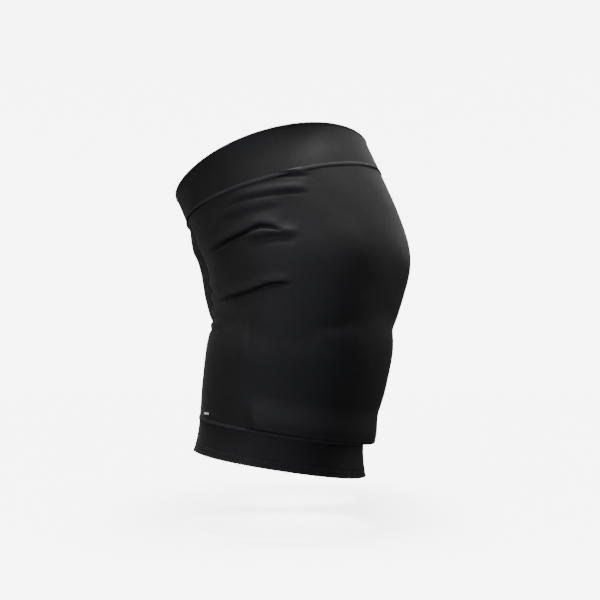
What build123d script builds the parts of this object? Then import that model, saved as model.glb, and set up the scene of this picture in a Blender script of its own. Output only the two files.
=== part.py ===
from build123d import *
from dataclasses import dataclass, replace
import math
import os

# Groin protector: compression shorts that carry a hard cup in a pocket behind the front panel.
# Millimetres. The origin is the centre of the waist opening, +Z is up, the front faces -Y and +X
# is the wearer's left. The cloth has the shape that it takes on the body.

# ---- the garment's outside --------------------------------------------------------------------
WAIST_BREADTH = 296.0
HIP_BREADTH = 344.0
WAIST_FRONT = (-109.5, -34.0)  # (y, z) of the waist edge at centre front
WAIST_BACK = (107.0, 28.0)
WAIST_ARCH = 16.0  # rise of the waist edge over each hip
CROTCH_Z = -206.0
CROTCH_FRONT_Y = -70.0
CROTCH_BACK_Y = 128.0
CROTCH_GAP = 10.0  # between the two legs at the crotch
HEM_BREADTH = 146.0
HEM_GAP = 34.0  # between the two legs at the hems
HEM_FRONT = (-78.4, -307.0)
HEM_BACK = (98.3, -333.7)
CUFF_HEIGHT = 35.5
CUFF_FLARE = 6.0  # how much further forward the hem is than the cuff's seam
CUFF_BACK_FLARE = 2.0
LEG_OVERHANG = 12.0  # how far the leg cloth hangs over the cuff at the back

# ---- waistband and front panel ----------------------------------------------------------------
BAND_FRONT = 30.0  # height of the waistband at centre front
BAND_SIDE = 48.0
BAND_BACK = 36.0
BAND_FRONT_SLOPE = 13.0  # how far the band leans out towards its top edge
BAND_BACK_SLOPE = 17.0
PANEL_TOP_HALF = 62.0
PANEL_BOTTOM_HALF = 34.0
POUCH = 12.0  # how far the front panel stands out from the hips beside it
GUSSET_DROP = 55.0  # how far the gusset reaches down each inner thigh

# ---- cloth ------------------------------------------------------------------------------------
FABRIC = 1.0
BAND_FABRIC = 1.2
ELASTIC = 1.4
ELASTIC_MARGIN = 3.0  # the band's knit passes the elastic by this much at each edge
CUFF_FABRIC = 1.6
GRIP = 0.8
GRIP_HEIGHT = 20.0
GRIP_ABOVE_HEM = 4.0
MESH = 0.9
SEAM_WIDTH = 6.0
SEAM_PROUD = 0.5
CUFF_SEAM_HEIGHT = 5.0

# ---- cup --------------------------------------------------------------------------------------
CUP_HEIGHT = 122.0
CUP_HALF_WIDTH = 45.0
CUP_DEPTH = 38.0
CUP_WALL = 3.0
CUP_TOE = 0.55  # width at the lower end over the width higher up
CUP_LEAN = 10.0  # degrees forward
CUP_TRAVEL = 175.0
RIM_WIDTH = 8.0
RIM_THICKNESS = 7.0
PAD = 2.5
PAD_FROM_RIM = 4.0
PAD_TO_FRONT = 14.0  # how far short of the cup's front its padding stops
VENT_RADIUS = 2.6
VENT_PITCH = 12.0
CUP_CLEARANCE = 1.2
POCKET_EASE = 4.0  # between the cup's front and the front panel
CUP_ABOVE_CROTCH = 17.0

# ---- pocket mouth, flap and tape --------------------------------------------------------------
MOUTH_ABOVE_CUP = 5.0
BINDING_HEIGHT = 8.0
FLAP_HALF_WIDTH = 36.0
FLAP = 1.6
FLAP_TIP = 13.0
FLAP_GAP = 0.8  # between the flap and what it hangs by or closes over
FLAP_FRONT_GAP = 8.0  # from the closed flap to the front panel at its centre, to swing past its sides
TAPE = 1.0
TAPE_HALF_WIDTH = 28.0
TAPE_MARGIN = 1.5  # from the hook tape to the edges of the flap's short end
LOOP_HEIGHT = 20.0

# ---- labels -----------------------------------------------------------------------------------
LABEL_WIDTH = 30.0
LABEL_HEIGHT = 20.0
LABEL = 0.6
TAB_WIDTH = 8.0
TAB_HEIGHT = 2.0
TAB = 0.8
TAB_OUT = 38.0  # how far outwards of the leg's centre line the tab starts

RING_POINTS = 28
REACH = 450.0  # longer than the garment, for cutters
SPARE_TOP = 28.0  # the torso is lofted this much too tall and trimmed at the waist edge


@dataclass(frozen=True)
class Ring:
    """A cross-section of the torso or a leg, from its front point to its back point, (y, z)."""

    front: tuple
    back: tuple
    half: float
    power: float = 2.3
    pouch: float = 0.0
    front_cleft: float = 0.0
    back_cleft: float = 0.0
    centre_x: float = 0.0

    def moved(self, dz):
        """The same section dz higher."""
        front = (self.front[0], self.front[1] + dz)
        back = (self.back[0], self.back[1] + dz)
        return replace(self, front=front, back=back)


def toward(a, b, share):
    """The number or point that is a share of the way from a to b."""
    if isinstance(a, tuple):
        return tuple(toward(p, q, share) for p, q in zip(a, b))
    return a + (b - a) * share


# ---- sections of the garment ------------------------------------------------------------------
def band_seam_ends():
    """(y, z) of the waistband's lower edge at centre front and centre back."""
    front = (WAIST_FRONT[0] + BAND_FRONT_SLOPE, WAIST_FRONT[1] - BAND_FRONT)
    back = (WAIST_BACK[0] + BAND_BACK_SLOPE, WAIST_BACK[1] - BAND_BACK)
    return front, back


def torso_rings():
    """Sections from above the waist edge down to the crotch."""
    waist, hip = WAIST_BREADTH / 2, HIP_BREADTH / 2
    seam_front, seam_back = band_seam_ends()
    top_front = (WAIST_FRONT[0] - BAND_FRONT_SLOPE, WAIST_FRONT[1] + SPARE_TOP)
    top_back = (WAIST_BACK[0] - BAND_BACK_SLOPE / 2, WAIST_BACK[1] + SPARE_TOP)

    def station(down, down_back, front_y, back_y, breadth, power, pouch, cleft, back_cleft):
        """A section part of the way down from the waistband's seam to the crotch."""
        front = (front_y, toward(seam_front[1], CROTCH_Z, down))
        back = (back_y, toward(seam_back[1], CROTCH_Z, down_back))
        half = toward(waist, hip, breadth)
        return Ring(front, back, half, power, POUCH * pouch, cleft, back_cleft)

    def front_y(share):
        return toward(seam_front[0], CROTCH_FRONT_Y, share)

    belly = station(0.19, 0.26, front_y(0.26), CROTCH_BACK_Y + 15, 0.62, 2.4, 0.6, 0, 3)
    hips = station(0.37, 0.50, front_y(0.55), CROTCH_BACK_Y + 24, 0.92, 2.5, 1.0, 0, 7)
    seat = station(0.60, 0.715, front_y(0.74), CROTCH_BACK_Y + 18, 1.0, 2.5, 1.0, 0, 11)
    thighs = station(0.82, 0.885, front_y(0.86), CROTCH_BACK_Y + 8, 1.0, 2.55, 0.6, 10, 18)
    crotch = station(1.0, 1.0, CROTCH_FRONT_Y, CROTCH_BACK_Y, 1.0, 2.6, 0.0, 45, 50)
    return [
        Ring(top_front, top_back, waist, 2.2),
        Ring(WAIST_FRONT, WAIST_BACK, waist, 2.2),
        Ring(seam_front, seam_back, toward(waist, hip, 0.28), 2.3, POUCH * 0.1),
        belly,
        hips,
        seat,
        thighs,
        crotch,
    ]


def cuff_seam_ends():
    """(y, z) of the cuff's seam at the front and the back of the leg."""
    front = (HEM_FRONT[0] + CUFF_FLARE, HEM_FRONT[1] + CUFF_HEIGHT)
    back = (HEM_BACK[0] - CUFF_BACK_FLARE, HEM_BACK[1] + CUFF_HEIGHT)
    return front, back


def leg_rings(lift=0.0):
    """Sections of the left leg from inside the torso down to the cuff's seam, lifted there."""
    front, back = cuff_seam_ends()
    back = (back[0] + LEG_OVERHANG, back[1])
    thigh_half = (HIP_BREADTH - CROTCH_GAP) / 4
    thigh_x = CROTCH_GAP / 2 + thigh_half
    hem_half = HEM_BREADTH / 2
    hem_x = HEM_GAP / 2 + hem_half
    root_front = (CROTCH_FRONT_Y + 16, CROTCH_Z + 52)
    root_back = (CROTCH_BACK_Y - 4, CROTCH_Z + 52)
    thigh_front = (CROTCH_FRONT_Y + 4, CROTCH_Z)
    thigh_back = (CROTCH_BACK_Y - 2, CROTCH_Z)
    middle_front = toward(thigh_front, front, 0.45)
    middle_back = toward(thigh_back, back, 0.45)
    middle_half = toward(thigh_half, hem_half, 0.3)
    middle_x = toward(thigh_x, hem_x, 0.4)
    return [
        Ring(root_front, root_back, thigh_half - 13, centre_x=thigh_x - 2),
        Ring(thigh_front, thigh_back, thigh_half, centre_x=thigh_x),
        Ring(middle_front, middle_back, middle_half, centre_x=middle_x),
        Ring(front, back, toward(thigh_half, hem_half, 0.6), centre_x=hem_x - 1).moved(lift),
    ]


def cuff_rings():
    """Sections of the left cuff from its seam down to the hem."""
    front, back = cuff_seam_ends()
    half = HEM_BREADTH / 2
    x = HEM_GAP / 2 + half
    waist_front = (toward(front[0], HEM_FRONT[0], 0.3), toward(front[1], HEM_FRONT[1], 0.55))
    waist_back = toward(back, HEM_BACK, 0.55)
    return [
        Ring(front, back, half, 2.2, centre_x=x),
        Ring(waist_front, waist_back, half, 2.2, centre_x=x),
        Ring(HEM_FRONT, HEM_BACK, half, 2.2, centre_x=x),
    ]


def section_uv(ring, angle):
    """A point of the section in its own plane: across, and back along its axis."""
    c, s = math.cos(angle), math.sin(angle)
    depth = math.dist(ring.front, ring.back) / 2
    radius = (abs(c / ring.half) ** ring.power + abs(s / depth) ** ring.power) ** (-1 / ring.power)
    across, along = radius * c, radius * s
    thigh_x = (HIP_BREADTH + CROTCH_GAP) / 4
    near = min(1.0, abs(across) / thigh_x)
    groove = (1 - near**2) ** 2
    beside = min(1.0, abs(across) / PANEL_TOP_HALF)
    step = beside**2 * (3 - 2 * beside)
    if s > 0:
        return across, along - ring.back_cleft * groove
    return across, along + ring.front_cleft * groove + ring.pouch * step * abs(s)


def section_points(ring, inset):
    """Points round the section, each moved in by inset, square to the curve."""
    y0, z0 = toward(ring.front, ring.back, 0.5)
    reach = math.dist(ring.front, ring.back)
    ay = (ring.back[0] - ring.front[0]) / reach
    az = (ring.back[1] - ring.front[1]) / reach
    points = []
    for i in range(RING_POINTS):
        angle = 2 * math.pi * i / RING_POINTS
        u, v = section_uv(ring, angle)
        before, after = section_uv(ring, angle - 0.02), section_uv(ring, angle + 0.02)
        du, dv = after[0] - before[0], after[1] - before[1]
        u -= inset * dv / math.hypot(du, dv)
        v += inset * du / math.hypot(du, dv)
        points.append(Vector(ring.centre_x + u, y0 + v * ay, z0 + v * az))
    return points


def loft_rings(rings, inset=0.0):
    """A closed, faceted solid through the sections, inset on every side but its ends."""
    return Solid.make_loft([Wire.make_polygon(section_points(r, inset)) for r in rings], ruled=True)


def mirrored(shape):
    """The same shape on the wearer's right."""
    return mirror(shape, about=Plane.YZ)


def figure(inset):
    """Torso and legs as one solid; the floors of its torso and legs are inset too."""
    rings = torso_rings()
    rings[-1] = rings[-1].moved(inset)
    leg = loft_rings(leg_rings(inset), inset)
    return loft_rings(rings, inset) + leg + mirrored(leg)


# ---- cutters ----------------------------------------------------------------------------------
def across(*edges):
    """A prism right across the garment from an outline in the YZ plane."""
    return extrude(make_face([Plane.YZ * e for e in edges]), amount=REACH, both=True, dir=(1, 0, 0))


def above_arc(front, side, back):
    """Everything above an arc through three (y, z) points that runs on straight at both ends."""
    arc = ThreePointArc(front, side, back)
    run = 60.0
    first, last = arc @ 0, arc @ 1
    before, after = first - (arc % 0) * run, last + (arc % 1) * run
    corner, far_corner = (before.X, REACH), (after.X, REACH)
    return across(
        arc,
        Line(first, before),
        Line(before, corner),
        Line(corner, far_corner),
        Line(far_corner, after),
        Line(after, last),
    )


def below_line(front, back, lift=0.0):
    """Everything below the straight line through two (y, z) points, lifted."""
    slope = (back[1] - front[1]) / (back[0] - front[0])
    left = (-REACH, front[1] + lift + slope * (-REACH - front[0]))
    right = (REACH, front[1] + lift + slope * (REACH - front[0]))
    corners = [left, right, (REACH, -2 * REACH), (-REACH, -2 * REACH)]
    return across(*[Line(p, q) for p, q in zip(corners, corners[1:] + corners[:1])])


def slab(front, back, low, high):
    """What lies between the line lifted by low and by high."""
    return below_line(front, back, high) - below_line(front, back, low)


def waist_above(front_drop, side_drop, back_drop):
    """Everything above the waist edge lowered by the three drops."""
    seam_front, seam_back = band_seam_ends()
    front = toward(WAIST_FRONT, seam_front, front_drop / BAND_FRONT)
    back = toward(WAIST_BACK, seam_back, back_drop / BAND_BACK)
    side_y, side_z = toward(WAIST_FRONT, WAIST_BACK, 0.58)
    return above_arc(front, (side_y, side_z + WAIST_ARCH - side_drop), back)


def above_band_seam(lower=0.0):
    """Everything above the waistband's seam, lowered."""
    return waist_above(BAND_FRONT + lower, BAND_SIDE + lower, BAND_BACK + lower)


def box_between(low, high):
    """A box from its lowest to its highest corner."""
    size = [h - l for l, h in zip(low, high)]
    return Pos(*low) * Box(*size, align=(Align.MIN, Align.MIN, Align.MIN))


def front_panel_block(grow=0.0):
    """The wedge that cuts the front panel out, wider by grow on each side."""
    top, bottom = PANEL_TOP_HALF + grow, PANEL_BOTTOM_HALF + grow
    high, low = WAIST_FRONT[1], CROTCH_Z
    outline = [(-top, high), (top, high), (bottom, low), (-bottom, low)]
    face = make_face(Polyline(*[(x, -REACH, z) for x, z in outline], close=True))
    return extrude(face, amount=REACH, dir=(0, 1, 0))


def gusset_block():
    """The wedge under the crotch that cuts the gusset out."""
    middle = toward(CROTCH_FRONT_Y, CROTCH_BACK_Y, 0.45)
    top = CROTCH_Z + 14
    corners = [(CROTCH_FRONT_Y - 5, top), (middle, CROTCH_Z - GUSSET_DROP), (CROTCH_BACK_Y, top)]
    prism = across(*[Line(p, q) for p, q in zip(corners, corners[1:] + corners[:1])])
    side = PANEL_BOTTOM_HALF
    return prism & box_between((-side, -REACH, -REACH), (side, REACH, 0))


# ---- the garment ------------------------------------------------------------------------------
def waistband(torso_outer):
    """The band's knit, over the elastic."""
    ring = torso_outer - loft_rings(torso_rings(), BAND_FABRIC)
    return (ring - waist_above(0, 0, 0)) & above_band_seam()


def waist_elastic():
    """The elastic web inside the band."""
    rings = torso_rings()
    ring = loft_rings(rings, BAND_FABRIC) - loft_rings(rings, BAND_FABRIC + ELASTIC)
    trimmed = ring - waist_above(ELASTIC_MARGIN, ELASTIC_MARGIN, ELASTIC_MARGIN)
    return trimmed & above_band_seam(-ELASTIC_MARGIN)


def panels(outer):
    """The front panel, the left leg panel and the gusset, cut from one skin."""
    skin = (outer - figure(FABRIC)) - above_band_seam()
    rings = cuff_rings()
    hole = loft_rings([rings[0].moved(8)] + rings, CUFF_FABRIC)
    gusset = skin & gusset_block()
    upper = skin - gusset_block()
    front = upper & front_panel_block()
    sides = upper - front_panel_block()
    leg = sides & box_between((0, -REACH, -2 * REACH), (REACH, REACH, REACH))
    return front, leg - hole, gusset


def raised(bigger, outer, where):
    """A seam's threads: a low strip on the outside of the cloth."""
    return (bigger & where) - outer


def front_seam_block():
    """Where the left front seam's threads run."""
    strip = front_panel_block(SEAM_WIDTH / 2) - front_panel_block(-SEAM_WIDTH / 2)
    left_front = box_between((0, -REACH, CROTCH_Z + 16), (REACH, 0, REACH))
    return (strip & left_front) - above_band_seam(SEAM_WIDTH / 2)


def back_seam_block():
    """Where the centre back seam's threads run."""
    half = SEAM_WIDTH / 2
    strip = box_between((-half, 0, CROTCH_Z + 16), (half, REACH, REACH))
    return strip - above_band_seam(SEAM_WIDTH / 2)


def waist_seam_block():
    """Where the threads run that join the waistband to the panels."""
    return above_band_seam(SEAM_WIDTH / 2) - above_band_seam(-SEAM_WIDTH / 2)


def cuff():
    """The left cuff."""
    rings = cuff_rings()
    return loft_rings(rings) - loft_rings(rings, CUFF_FABRIC)


def cuff_seam():
    """Threads round the top of the left cuff, under the overhanging leg cloth."""
    front, back = cuff_seam_ends()
    rings = cuff_rings()
    ring = loft_rings(rings, -SEAM_PROUD) - loft_rings(rings)
    return ring & slab(front, back, -CUFF_SEAM_HEIGHT, -0.2)


def grip_strip():
    """The silicone print inside the left cuff."""
    rings = cuff_rings()
    ring = loft_rings(rings, CUFF_FABRIC) - loft_rings(rings, CUFF_FABRIC + GRIP)
    return ring & slab(HEM_FRONT, HEM_BACK, GRIP_ABOVE_HEM, GRIP_ABOVE_HEM + GRIP_HEIGHT)


def care_label():
    """A blank label inside the back of the waistband."""
    rings = torso_rings()
    inset = BAND_FABRIC + ELASTIC
    sheet = loft_rings(rings, inset) - loft_rings(rings, inset + LABEL)
    top = WAIST_BACK[1] - ELASTIC_MARGIN - 4
    return sheet & box_between((-LABEL_WIDTH / 2, 0, top - LABEL_HEIGHT), (LABEL_WIDTH / 2, REACH, top))


def hem_tab(leg_solid):
    """A small blank tab on the front of the left thigh, just above the cuff's seam."""
    x = HEM_GAP / 2 + HEM_BREADTH / 2 + TAB_OUT
    z = cuff_seam_ends()[0][1] + TAB_HEIGHT
    sheet = loft_rings(leg_rings(), -TAB) - leg_solid
    return sheet & box_between((x, -REACH, z), (x + TAB_WIDTH, 0, z + TAB_HEIGHT))


# ---- the cup, in its own plane: +y from the cup's front to the body, +z up ----------------------
def panel_front_y(z):
    """Where the outside of the front panel is at the centre, at a height."""
    line = [ring.front for ring in torso_rings()]
    for high, low in zip(line, line[1:]):
        if high[1] >= z > low[1]:
            return toward(high[0], low[0], (high[1] - z) / (high[1] - low[1]))
    return line[-1][0]


def cup_plane():
    """The cup's plane: its origin is the middle of the rim's front face."""
    lean = math.radians(CUP_LEAN)
    z = CROTCH_Z + CUP_ABOVE_CROTCH + CUP_HEIGHT / 2
    back_off = FABRIC + POCKET_EASE + CUP_DEPTH
    y = panel_front_y(z) + back_off * math.cos(lean)
    return Plane(
        origin=(0, y, z + back_off * math.sin(lean)),
        x_dir=(1, 0, 0),
        z_dir=(0, -math.sin(lean), math.cos(lean)),
    )


def cup_outline(y, scale=1.0, grow=0.0):
    """The cup's outline as a wire at a depth, a rounded teardrop with its toe down."""
    points = []
    for i in range(RING_POINTS):
        angle = 2 * math.pi * i / RING_POINTS
        c, s = math.cos(angle), math.sin(angle)
        narrowing = toward(1.0, CUP_TOE, max(0.0, (0.35 - s) / 1.35) ** 1.3)
        x = CUP_HALF_WIDTH * math.copysign(abs(c) ** 0.85, c) * narrowing
        z = CUP_HEIGHT / 2 * math.copysign(abs(s) ** 0.92, s)
        factor = scale + grow / math.hypot(x, z)
        points.append(Vector(x * factor, y, z * factor))
    return Wire([Edge.make_spline(points, periodic=True)])


def dome(depth, grow):
    """The cup's rounded volume, shallower and narrower for its inside."""
    wires = []
    for share in (0.0, 0.3, 0.56, 0.78, 0.92, 0.985):
        scale = (1 - share**2.3) ** (1 / 2.3)
        wires.append(cup_outline(-depth * share, scale, grow * scale))
    return Solid.make_loft(wires)


def vents():
    """The cup's air holes, in rows that narrow towards its toe."""
    cutter = Part()
    for row, count in enumerate((3, 4, 3, 2, 1)):
        z = CUP_HEIGHT * 0.18 - row * VENT_PITCH
        for column in range(count):
            x = (column - (count - 1) / 2) * VENT_PITCH
            hole = Pos(x, -CUP_DEPTH, z) * Rot(90, 0, 0) * Cylinder(VENT_RADIUS, 2 * CUP_DEPTH)
            cutter += hole
    return cutter


def cup_shell():
    """The hard cup."""
    return dome(CUP_DEPTH, 0.0) - dome(CUP_DEPTH - CUP_WALL, -CUP_WALL) - vents()


def cup_rim():
    """The soft edge behind the hard cup."""
    outer, inner = Face(cup_outline(0)), Face(cup_outline(0, 1.0, -RIM_WIDTH))
    back = (0, 1, 0)
    ring = extrude(outer, amount=RIM_THICKNESS, dir=back) - extrude(inner, amount=RIM_THICKNESS, dir=back)
    outside = ring.edges().filter_by(lambda e: e.center().Y > RIM_THICKNESS - 0.1)
    return fillet(outside, RIM_THICKNESS * 0.3)


def cup_pad():
    """Padding that lines the cup's inside and leaves its air holes open."""
    room = dome(CUP_DEPTH - CUP_WALL, -CUP_WALL)
    hollow = dome(CUP_DEPTH - CUP_WALL - PAD, -CUP_WALL - PAD)
    keep = box_between(
        (-REACH, -CUP_DEPTH + PAD_TO_FRONT, -REACH),
        (REACH, -PAD_FROM_RIM, REACH),
    )
    return (room - hollow) & keep


# ---- the pocket, in the cup's plane -----------------------------------------------------------
def pocket_block(grow, y, length):
    """A block with the pocket's U-shaped outline, open at the top, from y backwards."""
    half = CUP_HALF_WIDTH + CUP_CLEARANCE + grow
    bottom = -CUP_HEIGHT / 2 - CUP_CLEARANCE - grow
    toe, shoulder = half * CUP_TOE + 8, 3.0
    low = [(-half, shoulder), (-toe, bottom * 0.72), (0, bottom), (toe, bottom * 0.72), (half, shoulder)]
    curve = Spline(low, tangents=[(0, -1), (0, 1)])
    sides = Polyline((half, shoulder), (half, REACH), (-half, REACH), (-half, shoulder))
    plane = Plane(origin=(0, y, 0), x_dir=(1, 0, 0), z_dir=(0, -1, 0))
    return extrude(plane * make_face([curve] + list(sides.edges())), amount=length, dir=(0, 1, 0))


def mouth_z():
    """Height of the pocket's mouth."""
    return CUP_HEIGHT / 2 + MOUTH_ABOVE_CUP


def back_y():
    """Where the pocket's back cloth starts."""
    return RIM_THICKNESS + CUP_CLEARANCE


def below_mouth(drop=0.0):
    """Everything below the pocket's mouth, lowered."""
    return box_between((-REACH, -REACH, -REACH), (REACH, REACH, mouth_z() - drop))


def pocket_back():
    """The pocket's mesh on the body's side."""
    return pocket_block(MESH, back_y(), MESH) & below_mouth(BINDING_HEIGHT)


def pocket_wall(inside):
    """The pocket's side strip, from its back cloth to the inside of the front panel."""
    reach = REACH / 2
    wall = pocket_block(MESH, back_y() - reach, reach) - pocket_block(0.0, back_y() - reach, reach)
    return wall & below_mouth() & inside


def pocket_binding():
    """The elastic edge along the top of the pocket's back cloth."""
    half = CUP_HALF_WIDTH + CUP_CLEARANCE + MESH
    low = (-half, back_y(), mouth_z() - BINDING_HEIGHT)
    return box_between(low, (half, back_y() + MESH, mouth_z()))


def flap_pin():
    """(y, z) of the line that the flap folds about."""
    return back_y() + MESH + FLAP_GAP, mouth_z() + FLAP_GAP + FLAP


def flap_length():
    """Length of the flap, so that closed it stops short of the front panel."""
    return flap_pin()[0] - front_at_mouth() - FLAP_FRONT_GAP - TAPE


def front_at_mouth():
    """Local y of the front panel's inside, level with the pocket's mouth, a cup's depth ahead."""
    place = cup_plane()
    point = place.from_local_coords(Vector(0, -CUP_DEPTH, flap_pin()[1]))
    y = panel_front_y(point.Z) + FABRIC
    return place.to_local_coords(Vector(0, y, point.Z)).Y


def pocket_flap():
    """The flap, open: it hangs behind the pocket and its short end stands out backwards."""
    y, z = flap_pin()
    length = flap_length()
    half = FLAP_HALF_WIDTH
    sheet = box_between((-half, y, z - length), (half, y + FLAP, z))
    tip = box_between((-half, y, z - length), (half, y + FLAP_TIP, z - length + FLAP))
    return sheet + tip


def flap_tape():
    """Hook tape on the far face of the flap's short end."""
    y, z = flap_pin()
    low = z - flap_length() - TAPE
    near, far = y + TAPE_MARGIN, y + FLAP_TIP - TAPE_MARGIN
    return box_between((-TAPE_HALF_WIDTH, near, low), (TAPE_HALF_WIDTH, far, low + TAPE))


def loop_patch():
    """Loop tape inside the front panel, where the closed flap's short end comes to rest."""
    rings = torso_rings()
    sheet = loft_rings(rings, FABRIC) - loft_rings(rings, FABRIC + TAPE)
    y, z = flap_pin()
    top = cup_plane().from_local_coords(Vector(0, front_at_mouth(), z)).Z
    low = (-TAPE_HALF_WIDTH, -REACH, top - LOOP_HEIGHT)
    return sheet & box_between(low, (TAPE_HALF_WIDTH, 0, top)) - above_band_seam()


# ---- writing the nodes ------------------------------------------------------------------------
def save(node, shape):
    """Write one node."""
    solids = shape.solids()
    export_step(solids[0] if len(solids) == 1 else Compound(solids), f"parts/{node}.step")


def save_pair(node, shape):
    """Write a node for the wearer's left and its mirror image for the right."""
    save(f"left_{node}", shape)
    save(f"right_{node}", mirrored(shape))


def save_garment(outer):
    """Write what is sewn into one garment."""
    front, leg, gusset = panels(outer)
    bigger = figure(-SEAM_PROUD)
    save("waistband", waistband(loft_rings(torso_rings())))
    save("waist_elastic", waist_elastic())
    save("front_panel", front)
    save("crotch_gusset", gusset)
    save("waist_seam", raised(bigger, outer, waist_seam_block()))
    save("back_seam", raised(bigger, outer, back_seam_block()))
    save("care_label", care_label())
    save("loop_patch", loop_patch())
    save("hem_tab", hem_tab(outer))
    save_pair("front_seam", raised(bigger, outer, front_seam_block()))
    save_pair("leg_panel", leg)
    save_pair("cuff", cuff())
    save_pair("cuff_seam", cuff_seam())
    save_pair("grip_strip", grip_strip())


def save_pocket_and_cup():
    """Write the pocket, its flap and the cup, each turned into the cup's plane."""
    place = cup_plane().location
    inside = place.inverse() * figure(FABRIC)
    save("pocket_back", place * pocket_back())
    save("pocket_wall", place * pocket_wall(inside))
    save("pocket_binding", place * pocket_binding())
    save("pocket_flap", place * pocket_flap())
    save("flap_hook_tape", place * flap_tape())
    save("cup_shell", place * cup_shell())
    save("cup_rim", place * cup_rim())
    save("cup_pad", place * cup_pad())


def print_joints():
    """Print the joints' places, for the record."""
    place = cup_plane()
    y, z = flap_pin()
    pin = place.from_local_coords(Vector(0, y, z))
    print("flap folds about x through", round(pin.Y, 3), round(pin.Z, 3))
    print("cup slides along", round(place.z_dir.Y, 5), round(place.z_dir.Z, 5), "for", CUP_TRAVEL)


os.makedirs("parts", exist_ok=True)
save_garment(figure(0.0))
save_pocket_and_cup()
print_joints()
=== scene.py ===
"""Looks of the groin protector: compression shorts with a cup pocket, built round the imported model."""

import logging
import math
from dataclasses import dataclass, field, replace
from enum import Enum

import bmesh
import bpy
import numpy as np
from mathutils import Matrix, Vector
from mathutils.bvhtree import BVHTree


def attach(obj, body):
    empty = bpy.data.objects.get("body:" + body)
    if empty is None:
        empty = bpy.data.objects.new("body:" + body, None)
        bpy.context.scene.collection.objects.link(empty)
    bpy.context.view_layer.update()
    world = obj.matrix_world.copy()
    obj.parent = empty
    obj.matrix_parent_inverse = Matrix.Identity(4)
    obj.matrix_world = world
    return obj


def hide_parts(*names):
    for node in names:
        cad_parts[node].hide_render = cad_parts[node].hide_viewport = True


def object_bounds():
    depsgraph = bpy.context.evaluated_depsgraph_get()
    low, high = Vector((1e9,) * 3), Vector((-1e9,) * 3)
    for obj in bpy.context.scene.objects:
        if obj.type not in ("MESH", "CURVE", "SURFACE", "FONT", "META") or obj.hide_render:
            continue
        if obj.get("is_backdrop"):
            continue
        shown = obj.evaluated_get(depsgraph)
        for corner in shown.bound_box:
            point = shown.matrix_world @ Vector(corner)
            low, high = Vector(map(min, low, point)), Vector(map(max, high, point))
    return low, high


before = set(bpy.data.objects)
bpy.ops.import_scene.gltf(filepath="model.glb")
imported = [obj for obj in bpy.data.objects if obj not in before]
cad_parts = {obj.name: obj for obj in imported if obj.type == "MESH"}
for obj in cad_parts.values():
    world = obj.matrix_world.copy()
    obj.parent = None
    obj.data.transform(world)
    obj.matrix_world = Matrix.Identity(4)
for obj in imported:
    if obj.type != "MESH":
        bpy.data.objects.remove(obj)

MM = 0.001
SEARCH_STEPS = 16
LOG = logging.getLogger("groin_protector")
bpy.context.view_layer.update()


class Side(Enum):
    """The wearer's side that a piece is on; the value is the sign of its x."""

    LEFT = 1
    RIGHT = -1

    @property
    def word(self) -> str:
        """The side's name as the nodes spell it."""
        return self.name.lower()


class Knit(Enum):
    """Ways in which a cloth of the garment is made."""

    JERSEY = "jersey"
    RIB = "rib"
    MESH = "mesh"


# ---- small tools ------------------------------------------------------------------------------
def smooth_step(x: np.ndarray) -> np.ndarray:
    """Rise from 0 to 1 with no corner.

    Args:
        x: values; below 0 gives 0 and above 1 gives 1.

    Returns:
        The eased values.
    """
    x = np.clip(x, 0.0, 1.0)
    return x * x * (3.0 - 2.0 * x)


def bump(x: np.ndarray, middle: float, width: float) -> np.ndarray:
    """A smooth bump of height 1.

    Args:
        x: values.
        middle: the value where the bump is highest.
        width: how far from there it has sunk to about a third.

    Returns:
        The bump's height at each value.
    """
    return np.exp(-(((x - middle) / width) ** 2))


def finer(grid: np.ndarray, times: int, closed: bool, axis: int) -> np.ndarray:
    """Put smooth in-between rows or columns into a grid of points.

    Args:
        grid: rows x columns x 3 points.
        times: how many steps each step becomes.
        closed: whether the grid joins itself along the axis.
        axis: 0 for rows, 1 for columns.

    Returns:
        The finer grid, which passes through the same points.
    """
    points = np.moveaxis(grid, axis, 0)
    count = len(points)
    spans = count if closed else count - 1
    at = np.arange(spans * times + (0 if closed else 1)) / times
    i = np.minimum(at.astype(int), spans - 1)
    t = (at - i).reshape((-1,) + (1,) * (points.ndim - 1))

    def pick(k: np.ndarray) -> np.ndarray:
        """Points by number, round the joint or held at the ends."""
        return points[k % count] if closed else points[np.clip(k, 0, count - 1)]

    a, b, c, d = pick(i - 1), pick(i), pick(i + 1), pick(i + 2)
    out = 0.5 * (2 * b + (c - a) * t + (2 * a - 5 * b + 4 * c - d) * t**2 + (3 * b - a - 3 * c + d) * t**3)
    return np.moveaxis(out, 0, axis)


def finer_both(grid: np.ndarray, rows: int, columns: int, closed: bool = False) -> np.ndarray:
    """Put smooth in-between rows and then columns into a grid of points.

    Args:
        grid: rows x columns x 3 points.
        rows: how many steps each step down becomes.
        columns: how many steps each step across becomes.
        closed: whether the columns join round.

    Returns:
        The finer grid.
    """
    return finer(finer(grid, rows, False, 0), columns, closed, 1)


def grid_normals(grid: np.ndarray, closed: bool) -> np.ndarray:
    """Unit normals of a grid of points.

    Args:
        grid: rows x columns x 3 points.
        closed: whether the columns join round.

    Returns:
        One normal for each point.
    """
    if closed:
        du = np.roll(grid, -1, axis=1) - np.roll(grid, 1, axis=1)
    else:
        du = np.gradient(grid, axis=1)
    normals = np.cross(du, np.gradient(grid, axis=0))
    return normals / np.maximum(np.linalg.norm(normals, axis=2, keepdims=True), 1e-12)


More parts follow.
